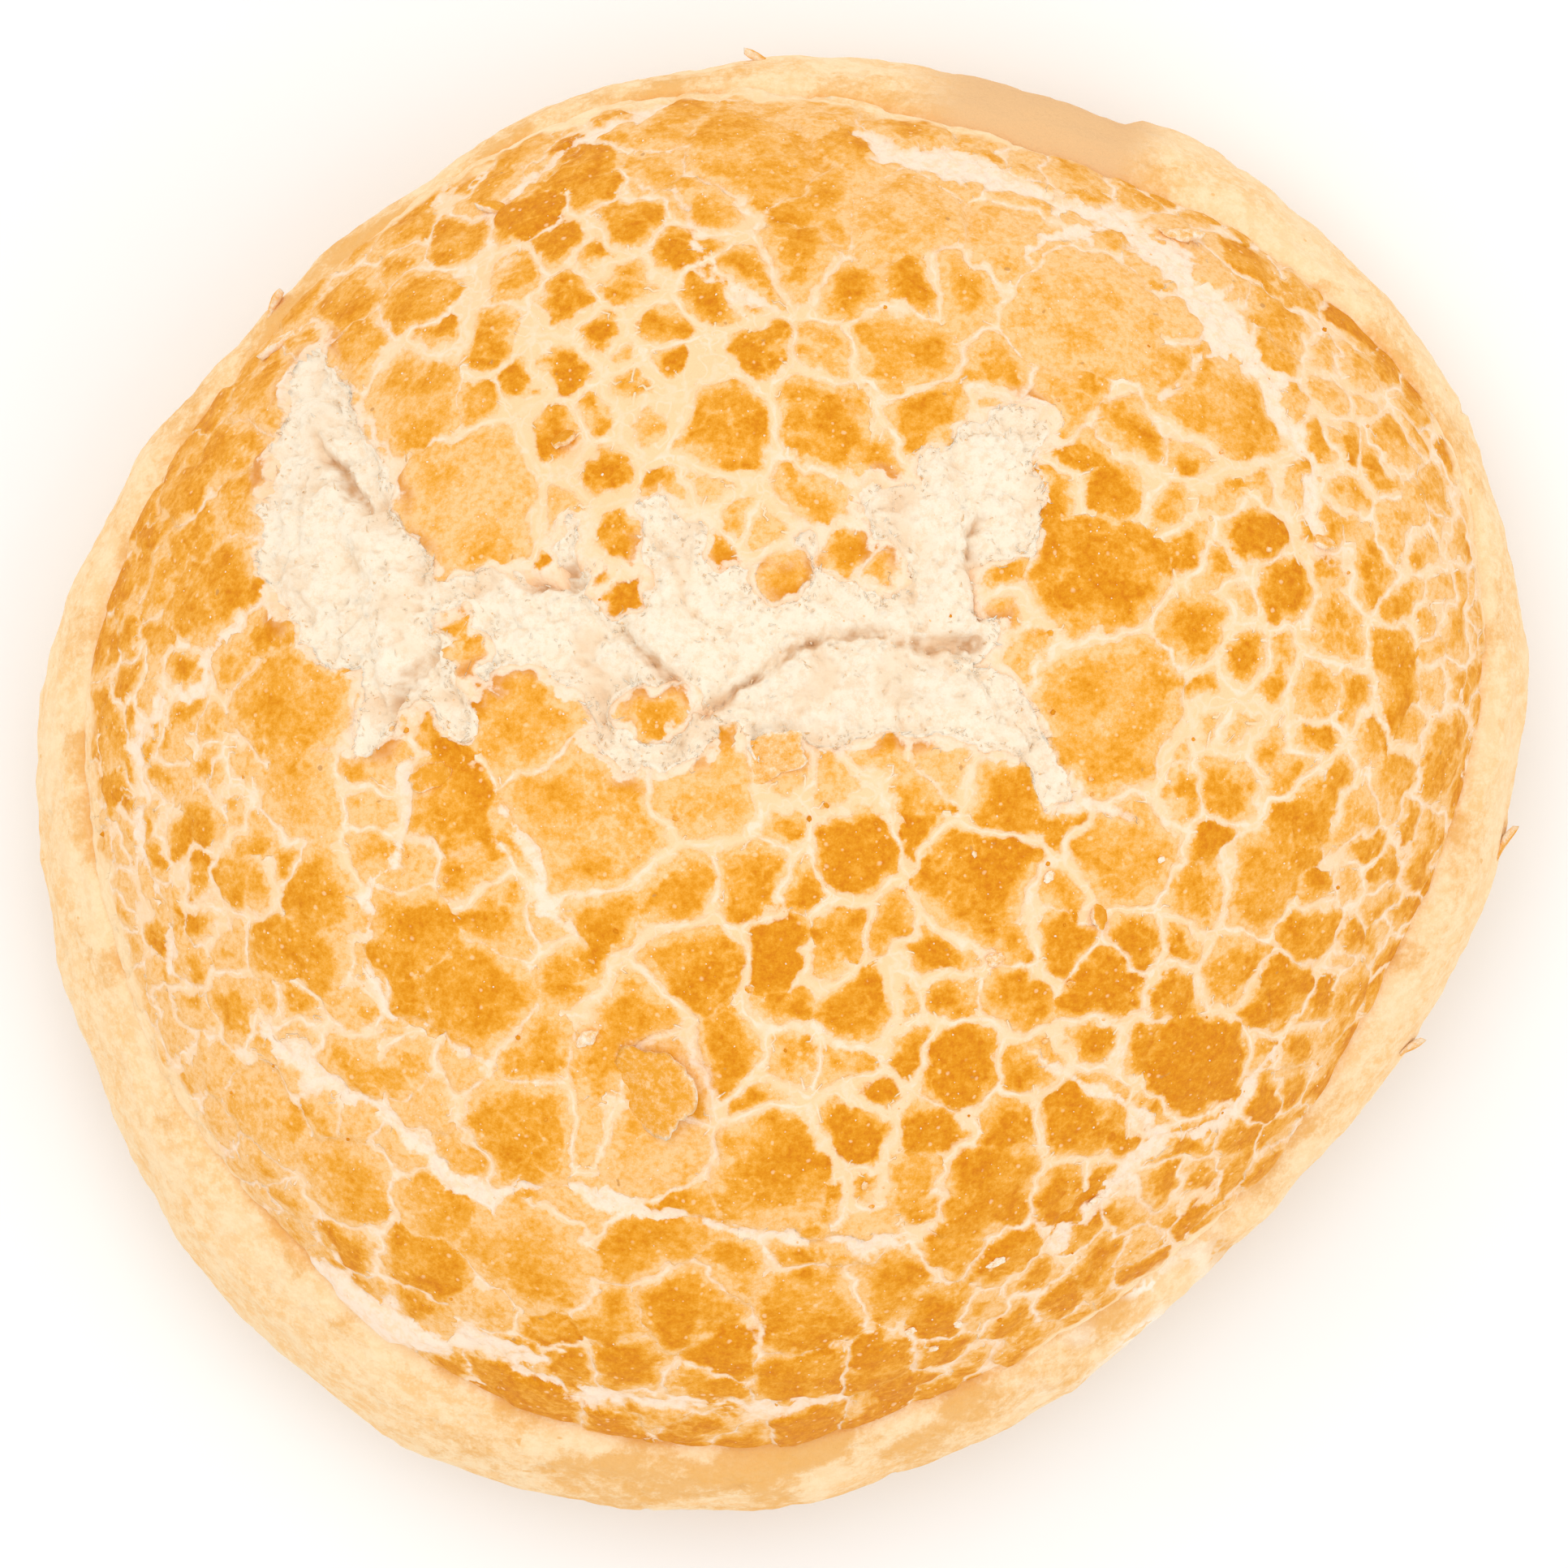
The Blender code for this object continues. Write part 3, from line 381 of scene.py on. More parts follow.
class ScatterSettings(bpy.types.PropertyGroup):
    """Numbers of small loose things."""

    shreds: count_of("Shreds", 1500, "Shreds of crumb that stand up in the tears")
    grains: count_of("Grains", 1500, "Grains of flour and crust dust")
    bits: count_of("Bits", 60, "Small loose bits of crust")
    seed: count_of("Seed", 19, "Chooses other places for them")


class StageSettings(bpy.types.PropertyGroup):
    """The plain floor, the lights and the camera."""

    floor: colour("Floor", (0.93, 0.93, 0.93), "The plain pale floor")
    floor_size: length_mm("Floor size", 4000.0, "Length of the floor's sides")
    view_width: length_mm("View width", 120.75, "Width of the picture at the roll's outline")
    camera_height: length_mm("Camera height", 1200.0, "Height of the camera over the roll's outline")
    sky: number("Sky", 0.86, "Mean strength of the light from all round")
    key: power("Key light", 3.0, "Power of the large soft light")
    fill: power("Fill light", 1.8, "Power of the second light")


def smooth(low, high, value):
    """Rises from 0 at low to 1 at high, with level ends."""
    part = np.clip((value - low) / (high - low), 0.0, 1.0)
    return part * part * (3.0 - 2.0 * part)


def turn_from(angle, middle):
    """Turn from a middle given in degrees, between -180 and 180."""
    return (np.degrees(angle) - middle + 180.0) % 360.0 - 180.0


def turns(count):
    """Turns of points spaced evenly round the axis."""
    return np.arange(count) / count * FULL_TURN


def placed(angle, radius, height):
    """Points from their turn round the axis, their distance from it and their height."""
    return np.stack([radius * np.cos(angle), radius * np.sin(angle), height], axis=1)


class Lumps:
    """Smooth repeatable noise for points in millimetres, between about -1 and 1. A number added to the points
    takes the noise from another place, so that two kinds of lumps don't fall together."""

    def __init__(self, seed):
        draw = np.random.default_rng(seed)
        self.order = draw.permutation(256)
        slopes = draw.normal(size=(256, 3))
        self.slopes = 1.7 * slopes / np.linalg.norm(slopes, axis=1)[:, None]

    def __call__(self, points, size):
        """Noise with lumps of one size."""
        place = points / size + 100.0
        corner = np.floor(place).astype(np.int64)
        inner = place - corner
        fade = inner ** 3 * (inner * (inner * 6.0 - 15.0) + 10.0)
        total = np.zeros(len(points))
        for offset in np.ndindex(2, 2, 2):
            i, j, k = ((corner + offset) & 255).T
            slope = self.slopes[self.order[(self.order[(self.order[i] + j) & 255] + k) & 255]]
            weight = np.prod(np.where(offset, fade, 1.0 - fade), axis=1)
            total += weight * np.sum(slope * (inner - offset), axis=1)
        return total

    def fractal(self, points, size, octaves, fall=0.5):
        """Noise with lumps of several sizes, each half the last."""
        return sum(fall ** octave * self(points, size / 2.0 ** octave) for octave in range(octaves))


def stroke_distance(x, y, stroke):
    """Distance to a stroke of changing width, negative inside it."""
    best = np.full_like(x, 1000.0)
    for (x0, y0, w0), (x1, y1, w1) in zip(stroke[:-1], stroke[1:]):
        run_x, run_y = x1 - x0, y1 - y0
        along = ((x - x0) * run_x + (y - y0) * run_y) / (run_x ** 2 + run_y ** 2)
        along = np.clip(along, 0.0, 1.0)
        away = np.hypot(x - x0 - along * run_x, y - y0 - along * run_y)
        best = np.minimum(best, away - (w0 + (w1 - w0) * along))
    return best


def strokes_distance(x, y, strokes):
    """Distance to the nearest of several strokes."""
    return np.min([stroke_distance(x, y, stroke) for stroke in strokes], axis=0)


def spots_distance(x, y, spots):
    """Distance to the nearest of several round spots, negative inside them."""
    return np.min([np.hypot(x - spot[0], y - spot[1]) - spot[2] for spot in spots], axis=0)


class RollShape:
    """The bare form of the roll, in millimetres."""

    def __init__(self, form):
        names = ("mean_radius", "height", "skirt_width", "bulge_height", "foot_inset", "edge_base", "crease",
                 "fold_step")
        for name in names:
            setattr(self, name, getattr(form, name) / MM)
        for name in ("edge_rise", "fullness", "shoulder", "openness", "roundness", "fold_angle"):
            setattr(self, name, getattr(form, name))
        self.out = np.sin(np.linspace(0.0, np.pi / 2, 400))
        drop = self.height - self.edge_base - self.edge_rise * self.skirt_width
        radius = self.mean_radius - self.skirt_width
        steps = np.hypot(np.diff(self.out) * radius, np.diff(drop * self.dome_rise(self.out)))
        self.length = np.concatenate([[0.0], np.cumsum(steps)])

    @staticmethod
    def lobed(angle, lobes):
        """Adds up lobes at each angle."""
        return sum(height * np.cos(waves * (angle - np.radians(peak))) for waves, height, peak in lobes)

    def outline(self, angle):
        """Distance from the axis to the roll's outline."""
        return self.mean_radius + self.lobed(angle, OUTLINE_LOBES)

    def width(self, angle):
        """Width of the skirt outside the crust, seen from above."""
        return np.maximum(self.skirt_width + self.lobed(angle, SKIRT_LOBES), 0.5)

    def edge_radius(self, angle):
        """Distance from the axis to the crust's edge."""
        return self.outline(angle) - self.width(angle)

    def edge_height(self, angle):
        """Height of the crust's edge."""
        return self.edge_base + self.edge_rise * self.width(angle)

    def crease_depth(self, angle):
        """Drop from the crust's edge to the skirt under it."""
        depth = np.full_like(angle, self.crease)
        for middle, spread, height in CREASES:
            turn = turn_from(angle, middle)
            depth += height * np.exp(-((turn / spread) ** 2))
        return depth

    def fold(self, angle):
        """Step out of the skirt at its fold, which dies away past the fold."""
        turn = (np.degrees(self.fold_angle - angle) + 180.0) % 360.0 - 180.0
        return self.fold_step * smooth(-1.0, 0.6, turn) * (1.0 - smooth(0.0, 26.0, turn))

    def dome_rise(self, out):
        """Height of the dome as a share, 1 in the middle and 0 at the crust's edge."""
        full = (1.0 - (1.0 - self.openness) * out ** self.fullness) ** self.shoulder
        least = self.openness ** self.shoulder
        return (full - least) / (1.0 - least)

    def dome_height(self, angle, out):
        """Height of the dome at a share of the way out to the crust's edge."""
        low = self.edge_height(angle)
        return low + (self.height - low) * self.dome_rise(out)

    def on_dome(self, x, y):
        """Points on the bare dome over places seen from above."""
        angle = np.arctan2(y, x)
        out = np.clip(np.hypot(x, y) / self.edge_radius(angle), 0.0, 1.0)
        return np.stack([x, y, self.dome_height(angle, out)], axis=1)

    def skirt(self, angle, part):
        """Radius and height of the skirt, from the crust's edge at 0 to the foot at 1."""
        across, up = np.sin(part * np.pi), np.cos(part * np.pi)
        edge, out = self.edge_radius(angle), self.outline(angle) + self.fold(angle)
        foot = self.outline(angle) - self.foot_inset
        edge_height = self.edge_height(angle) - self.crease_depth(angle)
        upper_radius = edge + (out - edge) * across ** self.roundness
        upper_height = self.bulge_height + (edge_height - self.bulge_height) * np.abs(up) ** self.roundness
        lower_radius = foot + (out - foot) * across
        lower_height = self.bulge_height * (1.0 + up)
        upper = part < 0.5
        return np.where(upper, upper_radius, lower_radius), np.where(upper, upper_height, lower_height)

    def unroll(self, x, y):
        """Turns a place seen from above into one on the dome rolled out flat."""
        radius = np.maximum(np.hypot(x, y), 0.001)
        out = radius / self.edge_radius(np.arctan2(y, x))
        stretch = np.interp(out, self.out, self.length) / radius
        return x * stretch, y * stretch

    def roll_back(self, u, v):
        """Turns a place on the dome rolled out flat into one seen from above."""
        length = np.maximum(np.hypot(u, v), 0.001)
        stretch = np.interp(length, self.length, self.out) * self.edge_radius(np.arctan2(v, u)) / length
        return u * stretch, v * stretch

    @staticmethod
    def outward(points):
        """Directions in which relief stands up from the roll."""
        away = points - (0.0, 0.0, RELIEF_CENTRE)
        return away / np.linalg.norm(away, axis=1)[:, None]


def zone_values(x, y):
    """Plates' spacing, cracks' half width, darkness and roundness on the crust, blended between zones."""
    weights = [np.full_like(x, OPEN_ZONE_WEIGHT)]
    values = [OPEN_ZONE]
    for zone_x, zone_y, reach, *value in CRUST_ZONES:
        weights.append(np.exp(-((x - zone_x) ** 2 + (y - zone_y) ** 2) / reach ** 2))
        values.append(value)
    weights = np.array(weights)
    return (weights.T @ np.array(values)) / weights.sum(axis=0)[:, None]


def all_plates(shape, seed):
    """The placed plates and, by seeded darts that keep apart, smaller ones between them, rolled out flat."""
    draw = np.random.default_rng(seed)
    placed = np.array(PLATES)
    u, v = shape.unroll(placed[:, 0], placed[:, 1])
    plates = [tuple(row) for row in np.column_stack([u, v, placed[:, 2], placed[:, 3]])]
    reach = shape.length[-1] + 3.0
    darts = draw.uniform(-reach, reach, (PLATE_TRIES, 2))
    spacing, _, tone, _ = zone_values(*shape.roll_back(darts[:, 0], darts[:, 1])).T
    sizes = draw.uniform(0.55, 1.35, len(darts))
    for (u, v), gap, dark, jitter in zip(darts, spacing * sizes, tone, draw.normal(size=len(darts))):
        near = np.array(plates)
        if np.min(np.hypot(near[:, 0] - u, near[:, 1] - v) - near[:, 2]) > PLATE_GAP * gap:
            plates.append((u, v, PLATE_RADIUS * gap, np.clip(dark + 0.10 * jitter, 0.05, 0.98)))
    return np.array(plates)


def plate_cells(u, v, plates, half_width, roundness):
    """Distance to the edge of the plate at each place, negative in a crack, to the nearest crack's middle on
    either side, that crack's half width, and the plate's number."""
    gap, side, half = np.empty_like(u), np.empty_like(u), np.empty_like(u)
    owner = np.empty(len(u), dtype=int)
    for block in np.array_split(np.arange(len(u)), 60):
        away_u = u[block, None] - plates[None, :, 0]
        away_v = v[block, None] - plates[None, :, 1]
        power = away_u ** 2 + away_v ** 2 - plates[None, :, 2] ** 2
        near = np.argpartition(power, 6, axis=1)[:, :6]
        near_power = np.take_along_axis(power, near, axis=1)
        order = np.argsort(near_power, axis=1)
        near = np.take_along_axis(near, order, axis=1)
        near_power = np.take_along_axis(near_power, order, axis=1)
        first, others = near[:, :1], near[:, 1:]
        between = np.hypot(plates[first, 0] - plates[others, 0], plates[first, 1] - plates[others, 1])
        middle = (near_power[:, 1:] - near_power[:, :1]) / (2.0 * between)
        even = roundness[block, None]
        width = half_width[block, None] * (pair_width(first, others) * (1.0 - even) + even)
        edge = middle - width
        nearest = np.argmin(edge, axis=1)[:, None]
        other = np.take_along_axis(others, nearest, axis=1)
        near_edges = np.exp(-np.clip(edge, -3.0, 6.0) / CORNER_ROUNDING)
        gap[block] = -CORNER_ROUNDING * np.log(np.sum(near_edges, axis=1))
        side[block] = (np.where(first > other, 1.0, -1.0) * np.take_along_axis(middle, nearest, axis=1))[:, 0]
        half[block] = np.take_along_axis(width, nearest, axis=1)[:, 0]
        owner[block] = first[:, 0]
    rim = 1.08 * plates[owner, 2] - np.hypot(u - plates[owner, 0], v - plates[owner, 1])
    return np.minimum(gap, rim + 2.5 * (1.0 - roundness)), side, half, owner


def pair_width(first, second):
    """Width of the crack between two plates as a share of its zone's: some plates nearly join."""
    low, high = np.minimum(first, second), np.maximum(first, second)
    chance = np.modf(np.abs(np.sin(low * 12.9898 + high * 78.233)) * 43758.5453)[0]
    return np.interp(chance, (0.0, 0.14, 0.22, 0.5, 0.85, 1.0), (-3.4, -1.2, 0.25, 0.8, 1.4, 2.4))


def warped(points, lumps):
    """Places on the crust seen from above, shifted about a little so that edges come out ragged."""
    shifts = []
    for offset in (0.0, 50.0):
        moved = points + offset
        shifts.append(sum(far * lumps(moved, long) for far, long in EDGE_WAVES))
    return points[:, 0] + shifts[0], points[:, 1] + shifts[1]


def tear_distance(points, lumps):
    """Distance to the nearest torn place, negative inside it."""
    x, y = warped(points, lumps)
    x = x + 0.35 * lumps(points + 90.0, 1.8)
    y = y + 0.35 * lumps(points + 95.0, 1.8)
    return np.maximum(strokes_distance(x, y, TEARS), -spots_distance(x, y, ISLANDS))


def swell(points, lumps):
    """Broad unevenness of the whole crust."""
    return 0.7 * lumps(points + 21.0, 17.0)


def crumb_fields(crust, points):
    """Relief of the torn crumb over points on the bare dome, in mm, and what its material needs to know."""
    lumps = Lumps(crust.seed)
    tear = tear_distance(points, lumps)
    shift = np.stack([lumps(points + offset, 3.0) for offset in (10.0, 30.0, 70.0)], axis=1)
    bent = points + 1.1 * shift
    puffs, creases = np.zeros(len(points)), np.zeros(len(points))
    for size, height in CRUMB_PUFFS:
        fold = np.abs(lumps(bent, size))
        puffs += height * (np.sqrt(fold + 0.01) - 0.45)
        creases += height * np.exp(-fold / 0.07)
    pores = smooth(0.42, 0.66, lumps(points + 40.0, 1.0)) + smooth(0.5, 0.7, lumps(points + 44.0, 0.6))
    bend_x, bend_y = points[:, 0] + 0.6 * shift[:, 0], points[:, 1] + 0.6 * shift[:, 1]
    ridge = 1.0 - smooth(-1.0, 1.1, strokes_distance(bend_x, bend_y, CRUMB_RIDGES))
    crevice = strokes_distance(bend_x, bend_y, CREVICES)
    in_crevice = 1.0 - smooth(-0.35, 0.45, crevice + 0.25 * lumps(points, 0.9))
    rise = 0.45 * smooth(-0.3, -3.0, tear) + 0.8 * ridge + puffs + 0.11 * lumps(points, 0.55)
    flush = np.exp(-((tear + 0.10) / 0.55) ** 2) * smooth(-0.75, -0.25, lumps(points + 92.0, 4.0))
    rise = rise * (1.0 - flush) + (crust.tear_depth / MM + 0.10) * flush
    relief = swell(points, lumps) - crust.tear_depth / MM + rise - 0.22 * pores
    relief -= crust.crevice_depth / MM * in_crevice + 2.4 * smooth(-0.05, 0.6, tear)
    # Painted shade for the material: darker where the crumb lies low, in its creases, pores and crevices,
    # near the tears' edges, and in broad patches spread by noise.
    shade = 0.20 * creases + 0.18 * pores + 0.6 * smooth(0.25, -1.1, rise) + 0.35 * in_crevice
    shade += 0.50 * smooth(0.0, 0.6, lumps(points + 88.0, 3.4)) + 0.15 * smooth(-0.7, 0.0, tear)
    return {"relief": relief, "hollow": np.clip(shade, 0.0, 1.0), "crevice": in_crevice, "tear": tear}


def crust_fields(shape, crust, points):
    """Relief of the crust over points on the bare dome, in mm, and what its materials need to know."""
    lumps = Lumps(crust.seed)

    # Distances to the tears and the wide cracks, made ragged, and to the edges of the plates
    x, y = warped(points, lumps)
    tear = tear_distance(points, lumps)
    wide = strokes_distance(x, y, WIDE_CRACKS) + 0.12
    wide += 0.38 * lumps(points + 35.0, 2.6) + 0.24 * lumps(points + 37.0, 1.1)
    swollen = stroke_distance(x, y, SWOLLEN_DOUGH)
    calm = 1.0 - smooth(-0.3, 0.5, swollen)
    wide = np.minimum(wide, swollen)
    _, half_width, _, roundness = zone_values(x, y).T
    half_width = half_width * (1.0 + 0.5 * lumps(points, 6.0))
    plates = all_plates(shape, crust.seed)
    gap, side, half, owner = plate_cells(*shape.unroll(x, y), plates, half_width, roundness)

    # Plates that lie a little high or low and tilted, with paste between them and crumb under the tears
    draw = np.random.default_rng(crust.seed + 1)
    level = draw.normal(scale=0.09, size=len(plates))[owner]
    tilt = draw.normal(scale=0.03, size=(len(plates), 2))[owner]
    u, v = shape.unroll(x, y)
    slope = tilt[:, 0] * (u - plates[owner, 0]) + tilt[:, 1] * (v - plates[owner, 1])
    in_crack = 1.0 - smooth(-0.25, 0.42, gap)
    in_wide = 1.0 - smooth(-0.35, 0.40, wide)
    in_tear = 1.0 - smooth(-0.58, -0.02, tear)
    under_crumb = 3.0 * (1.0 - smooth(-1.5, -0.45, tear))
    plate = level + slope + 0.16 * smooth(0.3, 2.4, gap) + 0.06 * lumps.fractal(points, 1.6, 3)
    curl = crust.curl / MM * np.exp(-((tear / 0.9) ** 2)) * smooth(-0.4, 0.5, lumps(points, 5.0))
    threads = 0.16 * (0.6 - np.abs(lumps(points + 15.0, 1.5))) + 0.08 * lumps(points, 0.7)
    solid = (plate + curl) * (1.0 - in_crack) + (threads - crust.crack_depth / MM) * in_crack
    rough = 0.5 * np.abs(lumps(points, 1.7)) + 0.25 * np.abs(lumps(points, 0.8))
    floor = (crust.wide_depth / MM - rough) * (1.0 - calm) - 0.8 * smooth(0.2, -1.6, swollen)
    cracked = solid * (1.0 - in_wide) - in_wide * floor
    relief = cracked * (1.0 - in_tear) - in_tear * crust.tear_depth / MM - under_crumb + swell(points, lumps)

    # For the material: where paste is bare, how dark each place is baked or painted with shade, how white,
    # and how far it fades
    fringe = 0.30 + 0.55 * lumps(points + 60.0, 2.4) + 0.30 * lumps(points + 64.0, 1.0)
    bare = np.minimum(np.minimum(gap, wide), tear - np.clip(fringe, 0.0, 1.2))
    tone = plates[owner, 3] + 0.10 * lumps(points, 7.0)
    # A darker band on the plates along the tears' edges, broken up by noise: partly darker baked rims, partly
    # painted shade at the lifted, overhanging edges.
    scorch = np.exp(-((tear - 0.45) / 0.5) ** 2) * smooth(0.05, 0.5, lumps(points + 80.0, 4.5)) * (tear > 0)
    patches = 0.45 * smooth(0.15, 0.7, lumps(points, 4.0)) * (1.0 - roundness)
    white = np.clip(smooth(0.5, -0.3, wide) + 0.7 * smooth(1.6, 0.3, tear) + patches, 0.0, 1.0)
    # In and near the tears the cream turns halfway to peach: a warmer painted shade where the crust drops to
    # the crumb.
    white *= 1.0 - 0.5 * smooth(0.2, -0.4, tear)
    angle = np.arctan2(points[:, 1], points[:, 0])
    out = np.hypot(points[:, 0], points[:, 1]) / shape.edge_radius(angle)
    inside = shape.length[-1] - np.interp(out, shape.out, shape.length)
    fade = np.zeros_like(inside)
    for middle, spread, width in SOFT_EDGES:
        turn = turn_from(angle, middle)
        near = np.clip(1.0 - inside / (2.0 * width), 0.0, 1.0)
        fade = np.maximum(fade, np.exp(-((turn / spread) ** 4)) * near)
    for middle, spread, darker in BAKED_EDGES:
        turn = turn_from(angle, middle)
        tone += darker * np.exp(-((turn / spread) ** 2)) * smooth(2.6, 0.3, inside)
    # Darker spots: mostly baked darker, two are painted shade by a curled rim and in a recess.
    for spot_x, spot_y, reach, darker in BAKED_AND_SHADED_SPOTS:
        tone += 0.7 * darker * np.exp(-((x - spot_x) ** 2 + (y - spot_y) ** 2) / reach ** 2)
    return {"relief": relief, "bare": bare, "side": side, "half": half, "tone": tone, "white": white,
            "scorch": scorch, "fade": fade}


def lace(first, first_count, second, second_count):
    """Triangles between two rings of points that start at the same turn and go round the same way."""
    first_middles = (np.arange(first_count) + 0.5) / first_count
    second_middles = (np.arange(second_count) + 0.5) / second_count
    step, across = np.arange(first_count), np.arange(second_count)
    over = np.searchsorted(second_middles, first_middles) % second_count
    back = np.searchsorted(first_middles, second_middles, side="right") % first_count
    down = np.column_stack([first + step, second + over, first + (step + 1) % first_count])
    up = np.column_stack([second + across, second + (across + 1) % second_count, first + back])
    return np.concatenate([down, up])


def fan(pole, ring, count, upward):
    """Triangles between a pole and the ring round it."""
    step = np.arange(count)
    pair = (ring + step, ring + (step + 1) % count)
    return np.column_stack([np.full(count, pole), *(pair if upward else pair[::-1])])


class Ring:
    """One ring of a skin: where its points are, its radius in the bake map, and whether it is hidden."""

    def __init__(self, place, map_radius, hidden=False):
        self.count, self.place, self.map_radius, self.hidden = len(place), place, map_radius, hidden


def closed_skin(name, rings, top, bottom, attributes):
    """Object with a closed skin laced from rings between a top and a bottom pole, in mm."""
    places = [np.array([top])] + [ring.place for ring in rings] + [np.array([bottom])]
    starts = np.cumsum([0] + [len(place) for place in places])
    faces = [fan(0, 1, rings[0].count, True)]
    hidden = [np.full(rings[0].count, rings[0].hidden)]
    for index, (upper, lower) in enumerate(zip(rings[:-1], rings[1:])):
        faces.append(lace(starts[index + 1], upper.count, starts[index + 2], lower.count))
        hidden.append(np.full(len(faces[-1]), upper.hidden or lower.hidden))
    faces.append(fan(starts[-2], starts[-3], rings[-1].count, False))
    hidden.append(np.full(rings[-1].count, rings[-1].hidden))
    faces, hidden = np.concatenate(faces), np.concatenate(hidden)
    values = {label: np.concatenate([field[:1], field, field[-1:]]) for label, field in attributes.items()}
    return mesh_object(name, np.concatenate(places), faces, bake_map(rings, faces, hidden), values)


def mesh_object(name, points, faces, bake_places, attributes):
    """Object with triangles between points given in mm, its bake map and values kept on its points."""
    mesh = bpy.data.meshes.new(name)
    mesh.vertices.add(len(points))
    mesh.vertices.foreach_set("co", (points * MM).ravel())
    mesh.loops.add(faces.size)
    mesh.loops.foreach_set("vertex_index", faces.ravel())
    mesh.polygons.add(len(faces))
    mesh.polygons.foreach_set("loop_start", np.arange(0, faces.size, 3))
    mesh.update(calc_edges=True)
    mesh.polygons.foreach_set("use_smooth", np.ones(len(faces), dtype=bool))
    for label, values in attributes.items():
        layer = mesh.attributes.new(label, "FLOAT", "POINT")
        layer.data.foreach_set("value", values.astype(np.float32))
    layer = mesh.uv_layers.new(name=BAKE_MAP)
    layer.data.foreach_set("uv", bake_places.ravel())
    return bpy.data.objects.new(name, mesh)


def bake_map(rings, faces, hidden):
    """Flat map: the skin that shows as a disc, and the hidden skin as a small one in a corner."""
    shown, tucked = [np.array([[0.5, 0.5]])], [np.array([[0.05, 0.05]])]
    widest = max(ring.map_radius for ring in rings)
    for ring in rings:
        turn = placed(turns(ring.count), 1.0, np.zeros(ring.count))[:, :2]
        shown.append(0.5 + ring.map_radius * turn)
        tucked.append(0.05 + 0.045 * ring.map_radius / widest * turn)
    shown.append(np.array([[0.5, 0.5]]))
    tucked.append(np.array([[0.05, 0.05]]))
    shown, tucked = np.concatenate(shown), np.concatenate(tucked)
    return np.where(np.repeat(hidden, 3)[:, None], tucked[faces.ravel()], shown[faces.ravel()])


def finish_piece(piece, material, replaces=False):
    """Gives a piece its material, puts it in the scene and joins it to the frame."""
    piece.data.materials.append(material)
    bpy.context.scene.collection.objects.link(piece)
    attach(piece, "root")
    if replaces:
        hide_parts(NODE)


def crumb_patch(shape, crust):
    """Points and triangles of the torn crumb: a fine sheet in and just past the tears."""
    step = crust.crumb_step / MM
    left, front, width, depth = TEAR_BOX
    columns, rows = int(width / step), int(depth / (ROW_SPACING * step))
    row, column = np.divmod(np.arange(rows * columns), columns)
    x = left + (column + 0.5 * (row % 2)) * step
    y = front + row * ROW_SPACING * step
    near = tear_distance(shape.on_dome(x, y), Lumps(crust.seed)) < 0.8
    base = (row * columns + column)[(row < rows - 1) & (column < columns - 1)]
    odd = row[base] % 2
    lower = np.column_stack([base, base + 1, base + columns + odd])
    upper = np.column_stack([base + 1 - odd, base + columns + 1, base + columns])
    faces = np.concatenate([lower, upper])
    faces = faces[near[faces].all(axis=1)]
    faces = without_pinches(faces, rows * columns)
    used, faces = np.unique(faces, return_inverse=True)
    return shape.on_dome(x[used], y[used]), faces.reshape(-1, 3)


def edges_outside(faces):
    """Edges that only one triangle has, in its own direction."""
    edges = np.concatenate([faces[:, (0, 1)], faces[:, (1, 2)], faces[:, (2, 0)]])
    low, high = edges.min(axis=1), edges.max(axis=1)
    _, first, count = np.unique(low * (high.max() + 1) + high, return_index=True, return_counts=True)
    return edges[first[count == 1]]


def without_pinches(faces, points):
    """Drops the triangles at points where the sheet would hang together by a corner."""
    while True:
        pinched = np.bincount(edges_outside(faces)[:, 0], minlength=points) > 1
        if not pinched.any():
            return faces
        faces = faces[~pinched[faces].any(axis=1)]


def thick_sheet(name, top, faces, thickness, attributes):
    """Closed object from a sheet: its top, a copy lower down, and walls between their edges."""
    count = len(top)
    under = top - (0.0, 0.0, thickness)
    edges = edges_outside(faces)
    walls = np.concatenate([np.column_stack([edges[:, 1], edges[:, 0], edges[:, 0] + count]),
                            np.column_stack([edges[:, 1], edges[:, 0] + count, edges[:, 1] + count])])
    every = np.concatenate([faces, faces[:, ::-1] + count, walls])
    flat = top[:, :2] - top[:, :2].min(axis=0)
    flat = flat / flat.max()
    shown = 0.02 + 0.96 * flat
    tucked = 0.02 + 0.1 * flat + (0.0, 0.85)
    corner = every.ravel()
    on_top = (corner < count) & np.repeat(np.arange(len(every)) < len(faces), 3)
    places = np.where(on_top[:, None], shown[corner % count], tucked[corner % count])
    values = {label: np.concatenate([field, field]) for label, field in attributes.items()}
    return mesh_object(name, np.concatenate([top, under]), every, places, values)


def dome_ring(shape, out, count, drop=0.0, pull=1.0):
    """Points of a ring on the bare dome, or lower and drawn in under it."""
    angle = turns(count)
    height = shape.dome_height(angle, np.full_like(angle, out)) - drop
    return placed(angle, out * shape.edge_radius(angle) * pull, height)


